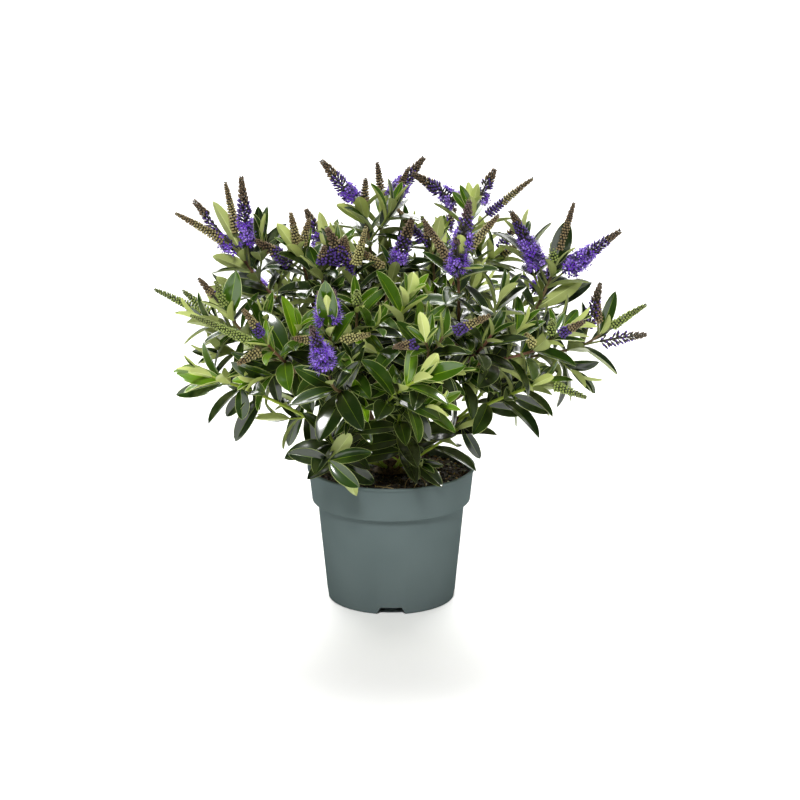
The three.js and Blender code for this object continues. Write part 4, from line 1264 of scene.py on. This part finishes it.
def make_soil():
    angles, radii = round_angles(SOIL.sides), SOIL.radius * np.linspace(1, 0.02, SOIL.rings)
    x, y = np.outer(radii, np.cos(angles)), np.outer(radii, np.sin(angles))
    top = np.stack([x, y, soil_height(x, y)], -1)
    bottom = SOIL_LEVEL - SOIL.depth
    foot = top[:1] * (0.955, 0.955, 0) + (0, 0, bottom)
    soil = Piece("potting_mix", "potting_mix", [
        grained_material("peat_mix", (42, 31, 23), 0.95, 260, 8, 0.75,
                         [(0.3, (14, 10, 8)), (0.5, (40, 29, 21)), (0.62, (66, 48, 33)),
                          (0.76, (104, 84, 58))], 0.0016)])
    soil.add(*skin(np.concatenate([foot, top]), (0, 0, bottom), (0, 0, float(soil_height(0.0, 0.0)))),
             "peat_mix")
    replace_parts(soil.make(), "soil")
    make_grains()
    make_litter()


def make_grains():
    """Loose crumbs, bark chips and grit, paler towards the right and back, as one mesh."""
    draws = np.random.default_rng(11)
    radius = (SOIL.radius - 3) * np.sqrt(draws.random(GRAINS))
    turn = draws.uniform(0, 2 * math.pi, GRAINS)
    x, y = radius * np.cos(turn), radius * np.sin(turn)
    pale = np.clip(0.12 + 0.22 * (x + y) / SOIL.radius, 0.04, 0.4)
    kinds = np.where(draws.random(GRAINS) < pale, draws.integers(2, 6, GRAINS), draws.integers(0, 3, GRAINS))
    sizes = draws.uniform(0.35, 1.3, GRAINS) ** 1.3
    grains = Piece("soil_grains", "potting_mix",
                   plant_materials("grain", GRAIN_COLOURS, 0.9, grain=500, relief=0.0003))
    ways = draws.normal(0, 1, (GRAINS, 3)) * (1, 1, 0.4)
    ways /= np.linalg.norm(ways, axis=1, keepdims=True)
    feet = np.stack([x, y, soil_height(x, y) + 0.25 * sizes], 1)
    stamp(grains, one_zone(*knob((0, 0, 0), 1, 1.5)), feet, ways, turn,
          np.stack([sizes * draws.uniform(1, 2, GRAINS), sizes], 1), kinds[:, None])
    grains.make(smooth=False)


def lying(marks, lift=0.6):
    """A smooth line over the soil through marks of (x, y, height above it)."""
    points = [(x, y, float(soil_height(float(x), float(y))) + lift + z) for x, y, z in marks]
    return Curve(*points).at(np.linspace(0, 1, 24))


def make_litter():
    """A fallen flower, bits of straw, a bent fibre and a root fibre on the potting mix."""
    litter = Piece("soil_litter", "potting_mix", [
        plant_material("litter_straw", (176, 156, 112), 0.7),
        plant_material("litter_fibre", (150, 120, 92), 0.7),
        plant_material("litter_flower", (104, 70, 186), 0.5),
    ])
    for marks, radius, look in (
        ([(-14, -50, 0), (-6, -54, 0.6), (3, -57, 0)], 0.5, "litter_straw"),
        ([(-10, -57, 0), (-4, -51, 1.0), (0, -46, 0)], 0.4, "litter_straw"),
        ([(14, -57, 0), (13, -24, 7), (37, -22, 7), (35, -59, 0)], 0.45, "litter_fibre"),
        ([(22, -60, 0), (24, -50, 3), (26, -44, 2)], 0.4, "litter_straw"),
        ([(-80, 6, 0), (-76, 0, 4), (-73, -12, 0), (-66, -26, 0)], 0.45, "litter_fibre"),
    ):
        litter.add(*tube(lying(marks), radius, 6), look)
    flower = one_zone(*flower_template()[:2])
    place = np.array([19, -3, float(soil_height(19.0, -3.0)) + 2.5])
    for way, turn in (((0.5, -0.7, 0.5), 0.4), ((-0.8, -0.4, 0.3), 1.9)):
        way = np.array(way)
        stamp(litter, flower, place[None] + way * 2, unit(way)[None], [turn], np.array([[0.9, 0.9]]),
              np.array([[litter.index["litter_flower"]]]))
    litter.make()


# ---- Camera, light and floor ----

CAMERA = Sizes(place=(0.009, -2.5, 0.9), pitch=15.51, lens=115.71, sensor=36)
# The bright patch: its direction, how near to it the room begins to glow and glows in full, and how much.
PATCH = Sizes(towards=(0, 0.85, 0.53), nearness=(0.74, 0.9), strength=(0.03, 4.7))


def make_camera():
    camera = bpy.data.objects.new("camera", bpy.data.cameras.new("camera"))
    camera.data.lens, camera.data.sensor_width = CAMERA.lens, CAMERA.sensor
    camera.location = CAMERA.place
    camera.rotation_euler = (math.radians(90 - CAMERA.pitch), 0, 0)
    bpy.context.scene.collection.objects.link(camera)
    bpy.context.scene.camera = camera


def sun(name, strength, softness, tilt, turn):
    """A broad light from far away: tilt is degrees from straight overhead towards the front."""
    light = bpy.data.objects.new(name, bpy.data.lights.new(name, "SUN"))
    light.data.energy, light.data.angle = strength, math.radians(softness)
    light.rotation_euler = (math.radians(tilt), 0, math.radians(turn))
    bpy.context.scene.collection.objects.link(light)


def surround():
    """A dim room with one broad bright patch, behind the shrub and above it, that glossy leaves reflect."""
    world = bpy.data.worlds.new("studio")
    world.use_nodes = True
    nearness = node(world, "ShaderNodeVectorMath", {0: (node(world, "ShaderNodeTexCoord"), "Generated")})
    nearness.operation = "DOT_PRODUCT"
    nearness.inputs[1].default_value = PATCH.towards
    strength = map_range(world, nearness, "Value", *PATCH.nearness, *PATCH.strength)
    background = world.node_tree.nodes["Background"]
    background.inputs["Color"].default_value = (1, 1, 1, 1)
    world.node_tree.links.new(strength.outputs["Result"], background.inputs["Strength"])
    return world


def make_studio():
    """A soft key from the front and above, a broader light from behind, the surround and a pale floor."""
    sun("key_light", 3.0, 14, 43, -6)
    sun("back_light", 2.0, 36, -38, 0)
    bpy.context.scene.world = surround()
    floor_look = new_material("floor", (244, 244, 243), 0.7)
    tones = ramp(floor_look, noise(floor_look, 3), [(0.3, (243, 243, 242)), (0.7, (247, 247, 246))])
    into_shader(floor_look, tones, "Color", "Base Color")
    bpy.ops.mesh.primitive_plane_add(size=30)
    floor = bpy.context.object
    floor.name = "floor"
    floor.data.materials.append(floor_look)
    bpy.context.scene.view_settings.view_transform = "Standard"


# ---- Making ----

make_camera()
make_studio()
make_pot()
make_soil()
make_bark()
make_twigs()
make_blossom()
make_leaves()
